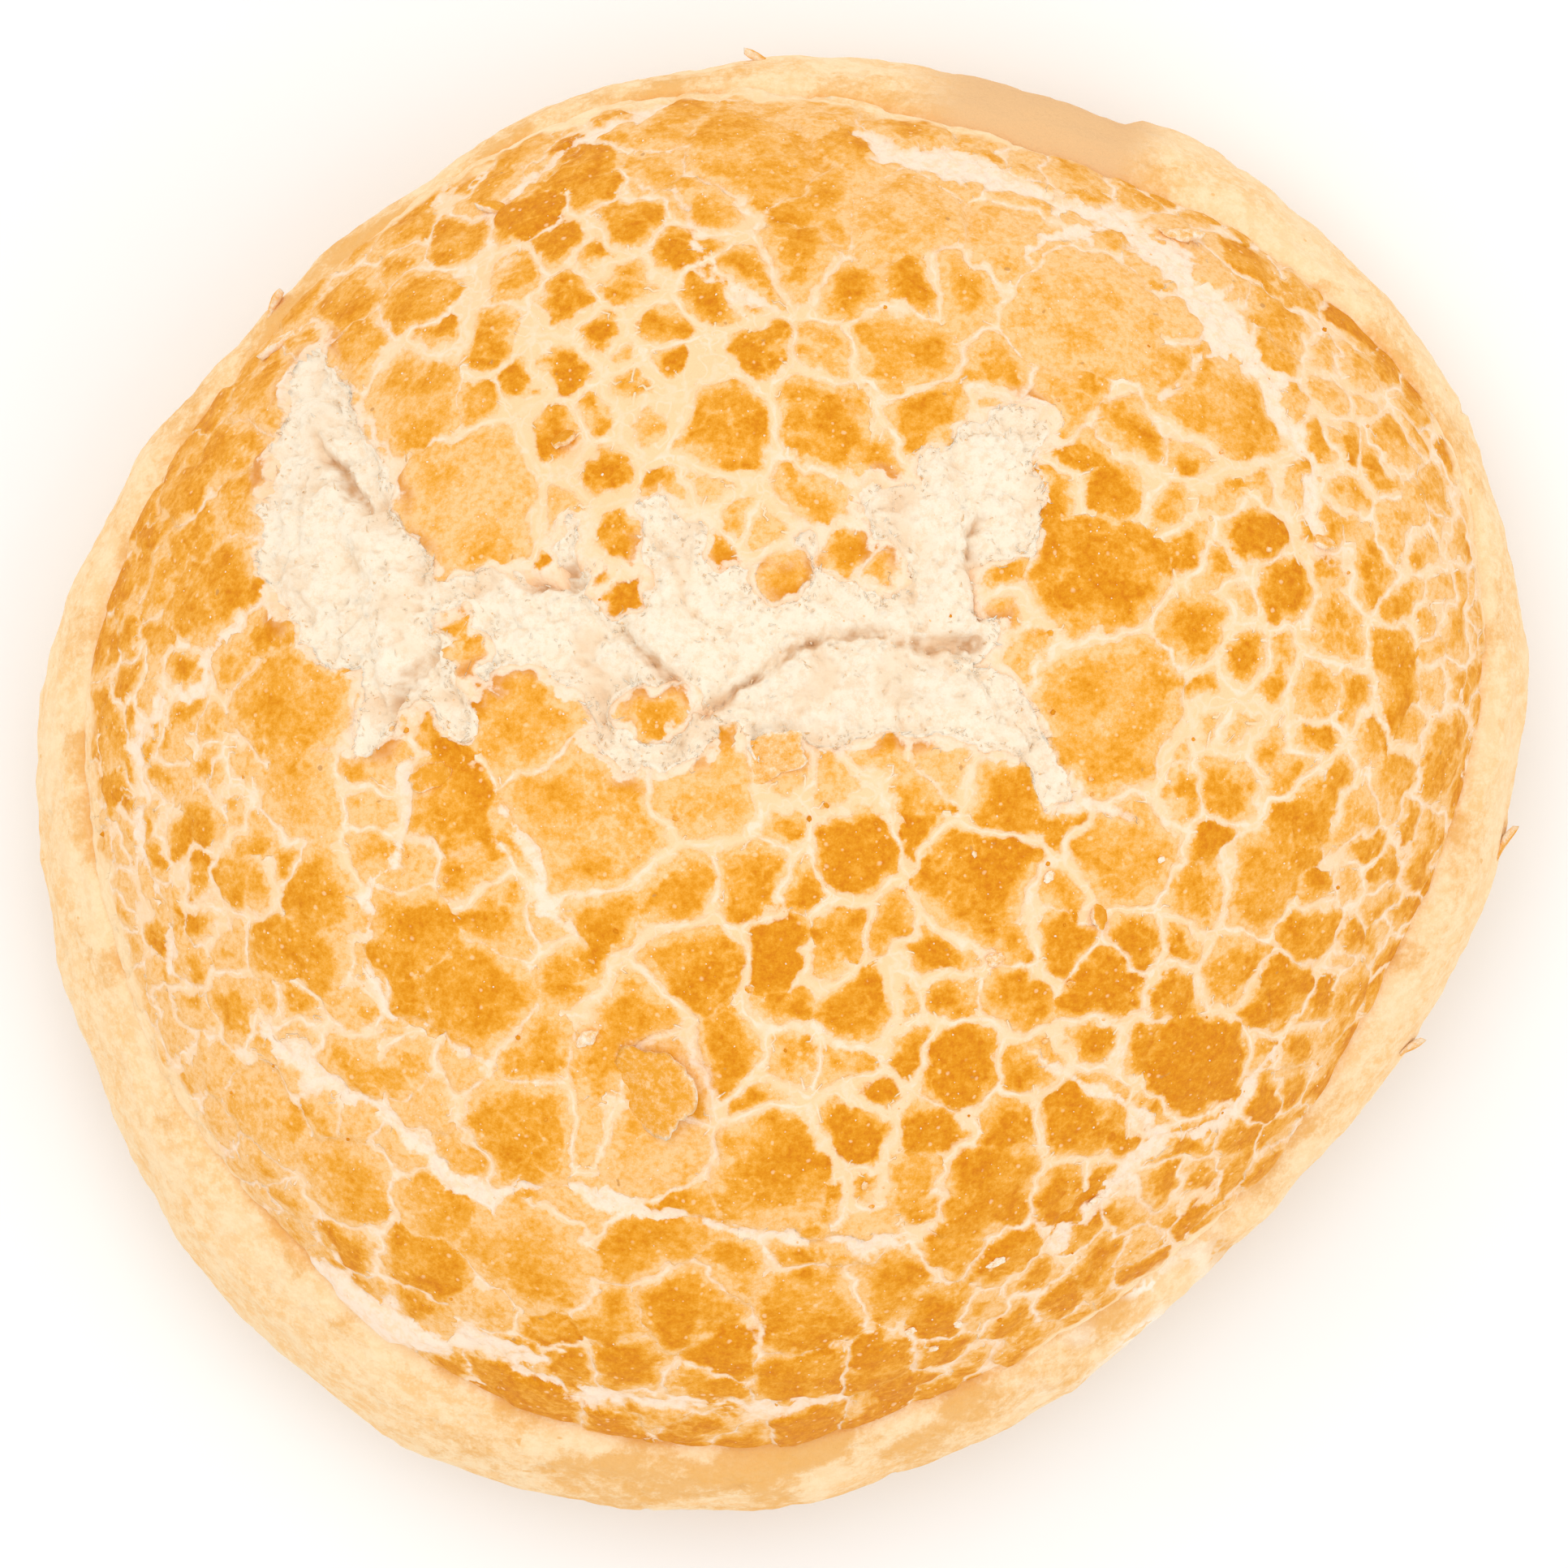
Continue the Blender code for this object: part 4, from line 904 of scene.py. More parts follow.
def crust_rings(shape, crust, step):
    """Rings of the crust: the dome with its relief, a rim tucked into the skirt, and the hidden underside."""
    length = shape.length[-1]
    count = int(length / (step * ROW_SPACING))
    outs = np.interp((np.arange(1, count + 1)) * length / count, shape.length, shape.out)
    radius = shape.mean_radius - shape.skirt_width
    counts = [int(max(6, round(FULL_TURN * out * radius / step))) for out in outs]
    bare = np.concatenate([dome_ring(shape, out, points) for out, points in zip(outs, counts)])
    fields = crust_fields(shape, crust, bare)
    lifted = bare + shape.outward(bare) * fields["relief"][:, None]
    arcs = 0.49 * np.arange(1, count + 1) / count
    rings = [Ring(place, arc) for place, arc in zip(np.split(lifted, np.cumsum(counts)[:-1]), arcs)]
    return rings + rim_rings(shape, rings[-1]), fields


def rim_rings(shape, last):
    """Rings that take the crust's edge down into the skirt and then up under the crust."""
    tuck, pull = 1.6, 0.93
    depth = shape.crease_depth(turns(last.count)) + tuck
    down = last.place - np.stack([0.010 * last.place[:, 0], 0.010 * last.place[:, 1], depth], axis=1)
    rings = [Ring(down, last.map_radius, hidden=True)]
    for out in (0.95, *HIDDEN_RINGS[::-1]):
        place = dome_ring(shape, out, int(360 * out), CRUST_SKIN, pull)
        rings.append(Ring(place, last.map_radius * out, hidden=True))
    return rings


def dough_rings(shape, step):
    """Rings of the dough: hidden under the crust, out over the skirt, and in along the flat underside."""
    rings = []
    for out in HIDDEN_RINGS:
        place = dome_ring(shape, out, int(360 * out), DOUGH_SKIN - 1.5 * out)
        rings.append(Ring(place, 0.5 * out, hidden=True))
    around = int(FULL_TURN * shape.mean_radius / step)
    angle = turns(around)
    skirt_length, tuck_in, tuck_up = 29.0, 2.0, 0.2
    for part in np.linspace(-0.03, 1.0, int(skirt_length / (step * ROW_SPACING))):
        radius, height = shape.skirt(angle, np.full_like(angle, max(part, 0.0)))
        if part < 0.0:
            radius, height = radius - tuck_in, height + tuck_up
        rings.append(Ring(placed(angle, radius, height), 0.49 - 0.22 * max(part, 0.0), hidden=part < 0.0))
    for out in UNDERSIDE_RINGS:
        angle = turns(max(8, int(around * out * min(1.0, 0.25 + 0.8 * out))))
        radius = out * (shape.outline(angle) - shape.foot_inset)
        rings.append(Ring(placed(angle, radius, np.zeros_like(angle)), 0.27 * out))
    return rings


def skirt_relief(shape, lumps, points):
    """Lumps, wrinkles and hollows of the skirt over its bare form, and the drop from the crust's edge."""
    angle = np.arctan2(points[:, 1], points[:, 0])
    below = shape.edge_height(angle) - shape.crease_depth(angle) - points[:, 2]
    skin = smooth(-0.5, 1.5, below) * smooth(0.0, 2.5, points[:, 2])
    around = np.stack([np.cos(angle) * 55.0, np.sin(angle) * 55.0, points[:, 2] * 3.0], axis=1)
    wrinkle = 0.14 * lumps(around, 5.0) + 0.07 * lumps(around, 2.2)
    relief = 0.45 * lumps(points + 50.0, 9.0) + 0.20 * lumps(points + 55.0, 3.6) + wrinkle
    relief += 0.10 * lumps.fractal(points, 1.6, 3) - 0.35 * smooth(0.52, 0.8, lumps(points + 33.0, 2.4))
    return relief * skin, below


def shape_dough(shape, rings, seed):
    """Adds the skirt's relief, and says where it is baked, tan or floured."""
    lumps = Lumps(seed)
    points = np.concatenate([ring.place for ring in rings])
    angle = np.arctan2(points[:, 1], points[:, 0])
    radius = np.hypot(points[:, 0], points[:, 1])
    degrees = np.degrees(angle) % 360.0
    relief, below = skirt_relief(shape, lumps, points)
    points += shape.outward(points) * relief[:, None]
    splits = np.cumsum([ring.count for ring in rings])[:-1]
    for ring, place in zip(rings, np.split(points, splits)):
        ring.place = place
    start, full_from, full_to, end = SMOOTH_DOUGH
    tan_part = smooth(start, full_from, degrees) * (1.0 - smooth(full_to, end, degrees))
    tan_part *= smooth(2.0, 11.0, points[:, 2] + 2.5 * lumps(points + 17.0, 5.0))
    middle, spread = FLOUR_PATCH
    flour = np.exp(-((degrees - middle) / spread) ** 2) * smooth(-0.2, 0.5, lumps(points + 9.0, 4.0))
    flour *= smooth(8.0, 11.0, points[:, 2])
    gold = np.exp(-below / 3.2) * smooth(-0.35, 0.45, lumps(points + 70.0, 5.0))
    broad = sum(strength * np.exp(-((degrees - middle) / spread) ** 2)
                for middle, spread, strength in BROAD_GOLD)
    gold += broad * smooth(-0.9, 0.5, lumps(points + 76.0, 6.0) + 0.5 * lumps(points + 78.0, 2.5))
    spot_x, spot_y, reach = GOLDEN_SPOT
    spot = np.hypot(points[:, 0] - spot_x, points[:, 1] - spot_y)
    gold = np.maximum(gold, np.exp(-(spot / reach) ** 2) * 1.6 * smooth(10.0, 13.0, points[:, 2]))
    tan_part = tan_part * (radius > 30.0)
    return {"skirt_gold": np.clip(gold, 0.0, 1.5), "skirt_tan": tan_part, "skirt_flour": flour}


class Graph:
    """Adds nodes to a material, one line for each, and links them."""

    def __init__(self, name):
        self.material = bpy.data.materials.new(name)
        self.material.use_nodes = True
        self.tree = self.material.node_tree
        self.shader = self.tree.nodes["Principled BSDF"]
        self.shader.inputs["Specular IOR Level"].default_value = 0.10
        self.place = self.add("ShaderNodeTexCoord").outputs["Object"]

    def add(self, kind, inputs=None, **settings):
        """Adds a node with its settings, its inputs given by name or number as values or sockets."""
        node = self.tree.nodes.new(kind)
        for name, value in settings.items():
            setattr(node, name, value)
        for name, value in (inputs or {}).items():
            self.feed(node.inputs[name], value)
        return node

    def feed(self, socket, value):
        """Sets a socket to a value, or links it."""
        if isinstance(value, bpy.types.NodeSocket):
            self.tree.links.new(value, socket)
        else:
            socket.default_value = value

    def math(self, operation, first, second=0.0):
        """One sum of two values."""
        return self.add("ShaderNodeMath", {0: first, 1: second}, operation=operation).outputs[0]

    def plus(self, first, second):
        """Two values added up."""
        return self.math("ADD", first, second)

    def minus(self, first, second):
        """One value less another."""
        return self.math("SUBTRACT", first, second)

    def times(self, first, second):
        """Two values multiplied."""
        return self.math("MULTIPLY", first, second)

    def sway(self, height, size, detail=2.0, rough=0.5):
        """Noise about zero, stronger with height, with lumps of a size in mm."""
        return self.times(self.minus(self.noise(size, detail, rough), 0.5), height)

    def noise(self, size, detail=2.0, rough=0.5, stretch=None):
        """Noise between about 0 and 1 with lumps of a size in mm, longer along an axis if stretched."""
        place = self.place
        if stretch:
            place = self.add("ShaderNodeVectorMath", {0: place, 1: stretch}, operation="MULTIPLY").outputs[0]
        inputs = {"Vector": place, "Scale": 1.0 / (size * MM), "Detail": detail, "Roughness": rough}
        return self.add("ShaderNodeTexNoise", inputs).outputs[0]

    def cells(self, size, feature, warp=0.0):
        """Voronoi cells of a size in mm."""
        place = self.place
        if warp:
            inputs = {"Vector": place, "Scale": 0.8 / (size * MM), "Detail": 2.0}
            shift = self.add("ShaderNodeTexNoise", inputs).outputs["Color"]
            moved = {0: shift, 1: (warp * MM,) * 3, 2: place}
            place = self.add("ShaderNodeVectorMath", moved, operation="MULTIPLY_ADD").outputs[0]
        inputs = {"Vector": place, "Scale": 1.0 / (size * MM)}
        return self.add("ShaderNodeTexVoronoi", inputs, feature=feature)

    def part(self, value, low, high, start=0.0, end=1.0):
        """Carries a value smoothly from low and high to start and end."""
        inputs = {"Value": value, "From Min": low, "From Max": high, "To Min": start, "To Max": end}
        return self.add("ShaderNodeMapRange", inputs, interpolation_type="SMOOTHSTEP").outputs[0]

    def mix(self, factor, first, second, blend="MIX"):
        """Mixes two colours."""
        inputs = {0: factor, 6: full(first), 7: full(second)}
        return self.add("ShaderNodeMix", inputs, data_type="RGBA", blend_type=blend).outputs[2]

    def ramp(self, factor, stops):
        """Carries a value to a colour through stops."""
        node = self.add("ShaderNodeValToRGB", {0: factor})
        while len(node.color_ramp.elements) < len(stops):
            node.color_ramp.elements.new(0.5)
        for element, (position, tone) in zip(node.color_ramp.elements, stops):
            element.position = position
            element.color = full(tone)
        return node.outputs[0]

    def field(self, name):
        """A value kept on the mesh's points."""
        return self.add("ShaderNodeAttribute", attribute_name=name).outputs["Fac"]

    def bump(self, heights, distance):
        """Normal from heights given in mm."""
        inputs = {"Height": heights, "Distance": distance * MM, "Strength": 1.0}
        return self.add("ShaderNodeBump", inputs).outputs[0]


def full(value):
    """A colour with its alpha, or a socket as it is."""
    return value if isinstance(value, bpy.types.NodeSocket) else (*value[:3], 1.0)


def crack_edges(graph):
    """Distance to the plate's edge, true for cracks finer than the mesh too, and to the crack's middle."""
    bare = graph.field("bare")
    side = graph.math("ABSOLUTE", graph.field("side"))
    inner = graph.part(bare, 0.30, 0.60, 0.0, 3.0)
    half = graph.field("half")
    closed = graph.part(half, 0.01, 0.11, 0.32, 0.0)
    fine = graph.plus(graph.plus(graph.minus(side, half), inner), closed)
    return graph.math("MINIMUM", graph.plus(bare, closed), fine), side


def plate_colour(graph, crust, edge):
    """Colour of the plates: baked golden in blotches, paler at the edges, with furrows, flour, and pits
    painted dark as shade.
    """
    blotch = graph.minus(graph.noise(3.4, 2.0, 0.6), 0.5)
    mottle = graph.minus(graph.noise(0.6, 3.0, 0.8), 0.5)
    bake = graph.plus(graph.minus(graph.field("tone"), 0.05), graph.times(blotch, 1.3))
    reach = graph.part(graph.noise(6.0, 1.0), 0.40, 0.62, 0.40, 1.3)
    inset = graph.math("DIVIDE", graph.plus(edge, graph.times(blotch, 1.6)), reach)
    bake = graph.minus(bake, graph.part(inset, -0.1, 1.5, 0.62, 0.0))
    vein = graph.math("ABSOLUTE", graph.minus(graph.noise(2.6, 2.0), 0.5))
    furrow = graph.part(vein, 0.0, 0.06, 0.20, 0.0)
    furrowed = graph.part(graph.noise(8.0, 0.0), 0.48, 0.60)
    bake = graph.minus(bake, graph.times(furrow, furrowed))
    least, most = 0.10, 0.79
    bake = graph.math("MINIMUM", graph.math("MAXIMUM", bake, least), most)
    bake = graph.plus(bake, graph.times(mottle, 1.35))
    stops = ((0.0, crust.pale), (0.25, crust.peach), (0.48, crust.amber), (0.72, crust.golden),
             (1.0, crust.dark))
    tone = graph.ramp(bake, stops)
    speck = graph.cells(0.66, "F1", 0.35)
    size = graph.add("ShaderNodeSeparateColor", {0: speck.outputs["Color"]}).outputs[0]
    size = graph.math("MAXIMUM", graph.math("POWER", size, 2.5), 0.01)
    spot = graph.part(graph.math("DIVIDE", speck.outputs["Distance"], size), 0.16, 0.40, 0.62, 0.0)
    tone = graph.mix(spot, tone, crust.crack)
    # Painted shade: small dark pits, spread by noise, take the crevices' brown shade colour.
    return graph.mix(graph.part(graph.noise(0.8, 0.0), 0.85, 0.90, 0.0, 0.75), tone, crust.hollow)


def crack_colour(graph, crust, side):
    """Colour of the cracks: peach paste with threads of cream, whiter where the crack is wide."""
    ridge = graph.math("ABSOLUTE", graph.minus(graph.noise(1.5, 1.0), 0.5))
    white = graph.math("MAXIMUM", graph.field("white"), graph.part(ridge, 0.0, 0.06, 0.5, 0.0))
    wander = graph.plus(side, graph.sway(0.4, 1.2, 1.0))
    whole = graph.part(graph.noise(1.8, 1.0), 0.36, 0.56, 0.4, 1.0)
    core = graph.times(graph.part(wander, 0.05, 0.24, 0.8, 0.0), whole)
    core = graph.times(core, graph.part(graph.field("half"), 0.30, 0.48, 1.0, 0.45))
    white = graph.math("MAXIMUM", white, core)
    fleck = graph.part(graph.noise(0.8, 2.0, 0.7), 0.42, 0.70, 0.0, 0.6)
    return graph.mix(fleck, graph.mix(white, crust.crack, crust.cream), crust.crack)


def crumb_material(crust):
    """Torn crumb: cream white, with a warmer painted shade where it lies low and a brown painted shade in the
    crevices.
    """
    graph = Graph("torn crumb")
    fleck = graph.part(graph.noise(0.9, 4.0, 0.8), 0.44, 0.66, 0.0, 0.75)
    cream = graph.mix(fleck, crust.crumb, crust.crumb_shade)
    # Painted shade: the crumb turns to its shaded colour where it lies low, in creases and near the tears'
    # edges.
    cream = graph.mix(graph.part(graph.field("hollow"), 0.15, 0.85, 0.0, 0.9), cream, crust.crumb_shade)
    # Painted shade: brown at the bottom of the crevices, broken up by noise.
    broken = graph.part(graph.noise(1.8, 2.0), 0.40, 0.64, 0.05, 0.75)
    deep = graph.times(graph.field("crevice"), broken)
    graph.feed(graph.shader.inputs["Base Color"], graph.mix(deep, cream, crust.hollow))
    graph.shader.inputs["Roughness"].default_value = 0.95
    graph.feed(graph.shader.inputs["Normal"], graph.bump(graph.noise(0.6, 3.0, 0.6), 0.13))
    return graph.material


def dough_colour(graph, dough):
    """Colour of bare dough: pale with warmer clouds and a fine grain."""
    cloud = graph.part(graph.noise(7.0, 1.0, 0.6, (1.0, 1.0, 2.0)), 0.34, 0.66, 0.40, 0.85)
    mottle = graph.part(graph.noise(1.3, 3.0, 0.8), 0.34, 0.66, 0.15, 1.0)
    tone = graph.mix(graph.times(cloud, mottle), dough.light, dough.warm)
    return graph.mix(graph.part(graph.noise(0.9, 0.0), 0.82, 0.88, 0.0, 0.6), tone, dough.gold)


def crust_material(crust, dough):
    """Tiger crust, with peach cracks, that fades into the dough in places along its edge."""
    graph = Graph("tiger crust")
    ragged = graph.sway(0.85, 0.8, 3.0, 0.65)
    sharp, side = crack_edges(graph)
    edge = graph.plus(sharp, ragged)
    on_plate = graph.part(edge, -0.15, 0.24)
    plates = plate_colour(graph, crust, edge)
    # Darker band along the tears' edges: partly baked rims, partly painted shade.
    plates = graph.mix(graph.times(graph.field("scorch"), 0.75), plates, crust.dark)
    border = graph.part(graph.math("ABSOLUTE", graph.minus(edge, 0.05)), 0.02, 0.16, 0.75, 0.0)
    border = graph.times(border, graph.part(graph.noise(2.4, 1.0), 0.38, 0.58))
    real = graph.part(graph.field("half"), 0.02, 0.14)
    real = graph.times(real, graph.part(graph.field("half"), 0.30, 0.46, 1.0, 0.25))
    opened = graph.math("MAXIMUM", graph.times(real, 0.4), graph.field("white"))
    border = graph.times(border, opened)
    colour_here = graph.mix(on_plate, crack_colour(graph, crust, side), plates)
    colour_here = graph.mix(border, colour_here, crust.cream)
    uneven = graph.plus(graph.field("fade"), graph.minus(graph.noise(2.6, 2.0, 0.6), 0.5))
    colour_here = graph.mix(graph.part(uneven, 0.35, 0.65), colour_here, dough_colour(graph, dough))
    graph.feed(graph.shader.inputs["Base Color"], colour_here)
    graph.feed(graph.shader.inputs["Roughness"], graph.part(on_plate, 0.0, 1.0, 0.92, 0.56))
    fine = graph.times(graph.noise(0.45, 2.0, 0.6), graph.part(on_plate, 0.0, 1.0, 0.13, 0.06))
    broad = graph.times(on_plate, 0.10)
    graph.feed(graph.shader.inputs["Normal"], graph.bump(graph.plus(fine, broad), 1.0))
    return graph.material


def dough_material(dough):
    """Pale, lightly baked dough of the skirt, and the browned underside."""
    graph = Graph("pale dough")
    tone = dough_colour(graph, dough)
    gold = graph.plus(graph.times(graph.field("skirt_gold"), 0.8), graph.sway(1.7, 1.2, 3.0, 0.8))
    tone = graph.mix(graph.part(gold, 0.20, 1.0, 0.0, 0.75), tone, dough.gold)
    tone = graph.mix(graph.field("skirt_tan"), tone, dough.tan)
    patches = graph.part(graph.noise(1.6, 2.0, 0.6), 0.42, 0.52)
    tone = graph.mix(graph.times(graph.field("skirt_flour"), patches), tone, dough.flour)
    height = graph.add("ShaderNodeSeparateXYZ", {0: graph.place}).outputs[2]
    uneven = graph.plus(height, graph.times(graph.noise(5.0, 1.0), 0.004))
    tone = graph.mix(graph.part(uneven, 0.0015, 0.0065, 1.0, 0.0), tone, dough.under)
    graph.feed(graph.shader.inputs["Base Color"], tone)
    graph.shader.inputs["Roughness"].default_value = 0.78
    graph.feed(graph.shader.inputs["Normal"], graph.bump(graph.noise(0.45, 3.0, 0.6), 0.16))
    return graph.material


def flake_material(crust):
    """Crust flakes and loose crumbs: golden or cream by their own tone, with a rough grain."""
    graph = Graph("crust flakes")
    bake = graph.plus(graph.field("tone"), graph.sway(1.1, 0.7, 4.0, 0.8))
    stops = ((0.02, crust.crumb), (0.22, crust.pale), (0.45, crust.amber), (0.72, crust.golden),
             (1.0, crust.dark))
    graph.feed(graph.shader.inputs["Base Color"], graph.ramp(bake, stops))
    graph.shader.inputs["Roughness"].default_value = 0.7
    graph.feed(graph.shader.inputs["Normal"], graph.bump(graph.noise(0.3, 4.0, 0.65), 0.08))
    return graph.material


def roll_and_crust(context):
    """The roll's bare form and the crust's settings."""
    return RollShape(context.scene.roll_form), context.scene.roll_crust


class BREAD_OT_crust(bpy.types.Operator):
    """Makes the cracked and torn tiger crust"""

    bl_idname = "bread.crust"
    bl_label = "Tiger Crust"

    def execute(self, context):
        shape, crust = roll_and_crust(context)
        rings, fields = crust_rings(shape, crust, context.scene.roll_form.crust_step / MM)
        hidden = sum(ring.count for ring in rings) - len(fields["relief"])
        names = ("bare", "side", "half", "tone", "white", "scorch", "fade")
        attributes = {name: np.concatenate([fields[name], np.zeros(hidden)]) for name in names}
        top = rings[0].place.mean(axis=0)
        bottom = (0.0, 0.0, shape.height - CRUST_SKIN)
        piece = closed_skin("tiger_crust", rings, top, bottom, attributes)
        finish_piece(piece, crust_material(crust, context.scene.roll_dough), replaces=True)
        return {"FINISHED"}


class BREAD_OT_crumb(bpy.types.Operator):
    """Makes the torn crumb that shows in the tears"""

    bl_idname = "bread.crumb"
    bl_label = "Torn Crumb"

    def execute(self, context):
        shape, crust = roll_and_crust(context)
        bare, faces = crumb_patch(shape, crust)
        fields = crumb_fields(crust, bare)
        top = bare + shape.outward(bare) * fields["relief"][:, None]
        attributes = {name: fields[name] for name in ("hollow", "crevice")}
        piece = thick_sheet("torn_crumb", top, faces, CRUMB_THICKNESS, attributes)
        finish_piece(piece, crumb_material(crust), replaces=True)
        return {"FINISHED"}


class BREAD_OT_dough(bpy.types.Operator):
    """Makes the pale skirt of dough and the flat underside"""

    bl_idname = "bread.dough"
    bl_label = "Pale Dough"

    def execute(self, context):
        shape, crust = roll_and_crust(context)
        rings = dough_rings(shape, context.scene.roll_form.skirt_step / MM)
        attributes = shape_dough(shape, rings, crust.seed + 2)
        top = (0.0, 0.0, shape.height - DOUGH_SKIN)
        piece = closed_skin("pale_dough", rings, top, (0.0, 0.0, 0.0), attributes)
        finish_piece(piece, dough_material(context.scene.roll_dough), replaces=True)
        return {"FINISHED"}


def surface_over(shape, crust, x, y):
    """Points on the finished surface over places seen from above, with how torn each place is."""
    bare = shape.on_dome(x, y)
    crumb = crumb_fields(crust, bare)
    relief = np.where(crumb["tear"] < 0.1, crumb["relief"], crust_fields(shape, crust, bare)["relief"])
    return bare + shape.outward(bare) * relief[:, None], crumb["tear"]


def frames_on(shape, points, turn):
    """Axes of small things that stand on the roll: along, across and up, one set for each point."""
    up = shape.outward(points)
    along = np.stack([np.cos(turn), np.sin(turn), np.zeros_like(turn)], axis=1)
    across = np.cross(up, along)
    across /= np.linalg.norm(across, axis=1)[:, None]
    return np.stack([np.cross(across, up), across, up], axis=1)


def lump_form(divisions):
    """Points and triangles of a ball of radius 1."""
    mesh = bmesh.new()
    bmesh.ops.create_icosphere(mesh, subdivisions=divisions, radius=1.0)
    points = np.array([vertex.co[:] for vertex in mesh.verts])
    faces = np.array([[vertex.index for vertex in face.verts] for face in mesh.faces])
    mesh.free()
    return points, faces


def scatter_piece(name, forms, faces, attributes):
    """One object from many small closed forms with the same triangles, each form an array of points in mm."""
    count, each = len(forms), forms[0].shape[0]
    every = (faces[None] + each * np.arange(count)[:, None, None]).reshape(-1, 3)
    side = math.ceil(math.sqrt(count))
    cells = np.stack(np.divmod(np.arange(count), side), axis=1) / side
    low, high = forms.min(axis=1, keepdims=True), forms.max(axis=1, keepdims=True)
    local = ((forms - low) / (high - low))[:, :, :2]
    places = (cells[:, None] + (0.1 + 0.8 * local) / side).reshape(-1, 2)[every.ravel()]
    return mesh_object(name, forms.reshape(-1, 3), every, places, attributes)


def crumb_lumps(shape, crust):
    """The loose crumbs: uneven lumps that lie on the crust."""
    rows = np.array(LOOSE_CRUMBS)
    draw = np.random.default_rng(crust.seed + 5)
    ball, faces = lump_form(4)
    lumps = Lumps(crust.seed + 5)
    points, _ = surface_over(shape, crust, rows[:, 0], rows[:, 1])
    axes = frames_on(shape, points, draw.uniform(0.0, np.pi, len(rows)))
    forms = []
    for row, point, frame_axes in zip(rows, points, axes):
        shift = ball + 9.0 * draw.normal(size=3)
        rough = 1.0 + 0.45 * lumps(shift, 0.9) + 0.22 * lumps(shift, 0.35)
        size = np.array([row[2], row[3], 0.55 * row[3]]) / 2.0
        forms.append(point + (ball * rough[:, None] * size + (0.0, 0.0, 0.35 * size[2])) @ frame_axes)
    tone = np.repeat(rows[:, 4], len(ball))
    return scatter_piece("loose_crumbs", np.array(forms), faces, {"tone": tone})


def flakes_on_skirt(shape, crust):
    """Places of the flakes on the skirt, with their sizes in the same order as those of the lifted flakes."""
    rows = np.array(SKIRT_FLAKES)
    angle = np.radians(rows[:, 0])
    points = placed(angle, *shape.skirt(angle, rows[:, 1]))
    relief, _ = skirt_relief(shape, Lumps(crust.seed + 2), points)
    return points + shape.outward(points) * relief[:, None], rows


def flake_disc(rings, spokes):
    """Points of a flat disc of radius 1, and triangles of the closed scale that it makes with a copy."""
    turn = turns(spokes)
    circle = np.stack([np.cos(turn), np.sin(turn)], axis=1)
    disc = np.concatenate([[[0.0, 0.0]]] + [(ring + 1) / rings * circle for ring in range(rings)])
    starts = 1 + spokes * np.arange(rings)
    faces = [fan(0, 1, spokes, True)]
    faces += [lace(inner, spokes, inner + spokes, spokes) for inner in starts[:-1]]
    faces = np.concatenate(faces)
    walls = lace(starts[-1], spokes, starts[-1] + len(disc), spokes)
    return disc, np.concatenate([faces, walls, faces[:, ::-1] + len(disc)])


def flake_forms(shape, crust):
    """The lifted flakes: thin curved scales of crust with ragged edges, held down at one end."""
    rows = np.array(LIFTED_FLAKES)
    points, _ = surface_over(shape, crust, rows[:, 0], rows[:, 1])
    skirt_points, skirt_rows = flakes_on_skirt(shape, crust)
    points, rows = np.concatenate([points, skirt_points]), np.concatenate([rows, skirt_rows])
    disc, every = flake_disc(9, 48)
    count = len(disc)
    lumps = Lumps(crust.seed + 6)
    axes = frames_on(shape, points, np.radians(rows[:, 5]))
    forms, tones = [], []
    out = np.hypot(disc[:, 0], disc[:, 1])
    angle = np.arctan2(disc[:, 1], disc[:, 0])
    for index, (row, point, frame_axes) in enumerate(zip(rows, points, axes)):
        _, _, length, width, lift, _, dark = row
        around = placed(angle, 1.0, np.full_like(angle, 7.0 * index))
        ragged = 1.0 + sum(far * lumps(around, long) for far, long in FLAKE_WAVES)
        flat = disc * ragged[:, None] * (length / 2.0, width / 2.0)
        part = flat[:, 0] / length + 0.5
        wave = 0.12 * lumps(np.column_stack([flat, np.full(count, 5.0 * index)]), 1.5)
        height = lift * np.clip(part, 0.0, 1.3) ** 1.8 + wave + 0.1 - 0.035 * flat[:, 1] ** 2
        thick = 0.10 + 0.16 * (1.0 - out ** 3)
        held = smooth(0.75, 0.2, part)
        top = np.column_stack([flat, height + thick * (1.0 - held) - 0.25 * held * out])
        under = np.column_stack([0.985 * flat, height - thick - 0.3])
        forms.append(point + np.concatenate([top, under]) @ frame_axes)
        tones += [dark - 0.7 * dark * smooth(0.86, 1.0, out) * (1.0 - held), np.full(count, 0.10)]
    return scatter_piece("crust_flakes", np.array(forms), every, {"tone": np.concatenate(tones)})


def shred_form():
    """Points and triangles of an upright sliver of height 1: three sides, four steps and a tip."""
    steps = np.array([0.0, 0.3, 0.6, 0.85])
    turn = turns(3)
    ring = np.stack([np.cos(turn), np.sin(turn)], axis=1)
    width = 0.5 * (1.0 - 0.75 * steps)
    points = [np.column_stack([ring * size, np.full(3, step)]) for size, step in zip(width, steps)]
    points = np.concatenate([[[0.0, 0.0, 1.0]], *points[::-1]])
    faces = [fan(0, 1, 3, True)] + [lace(1 + 3 * step, 3, 4 + 3 * step, 3) for step in range(3)]
    return points, np.concatenate(faces + [[[10, 12, 11]]])


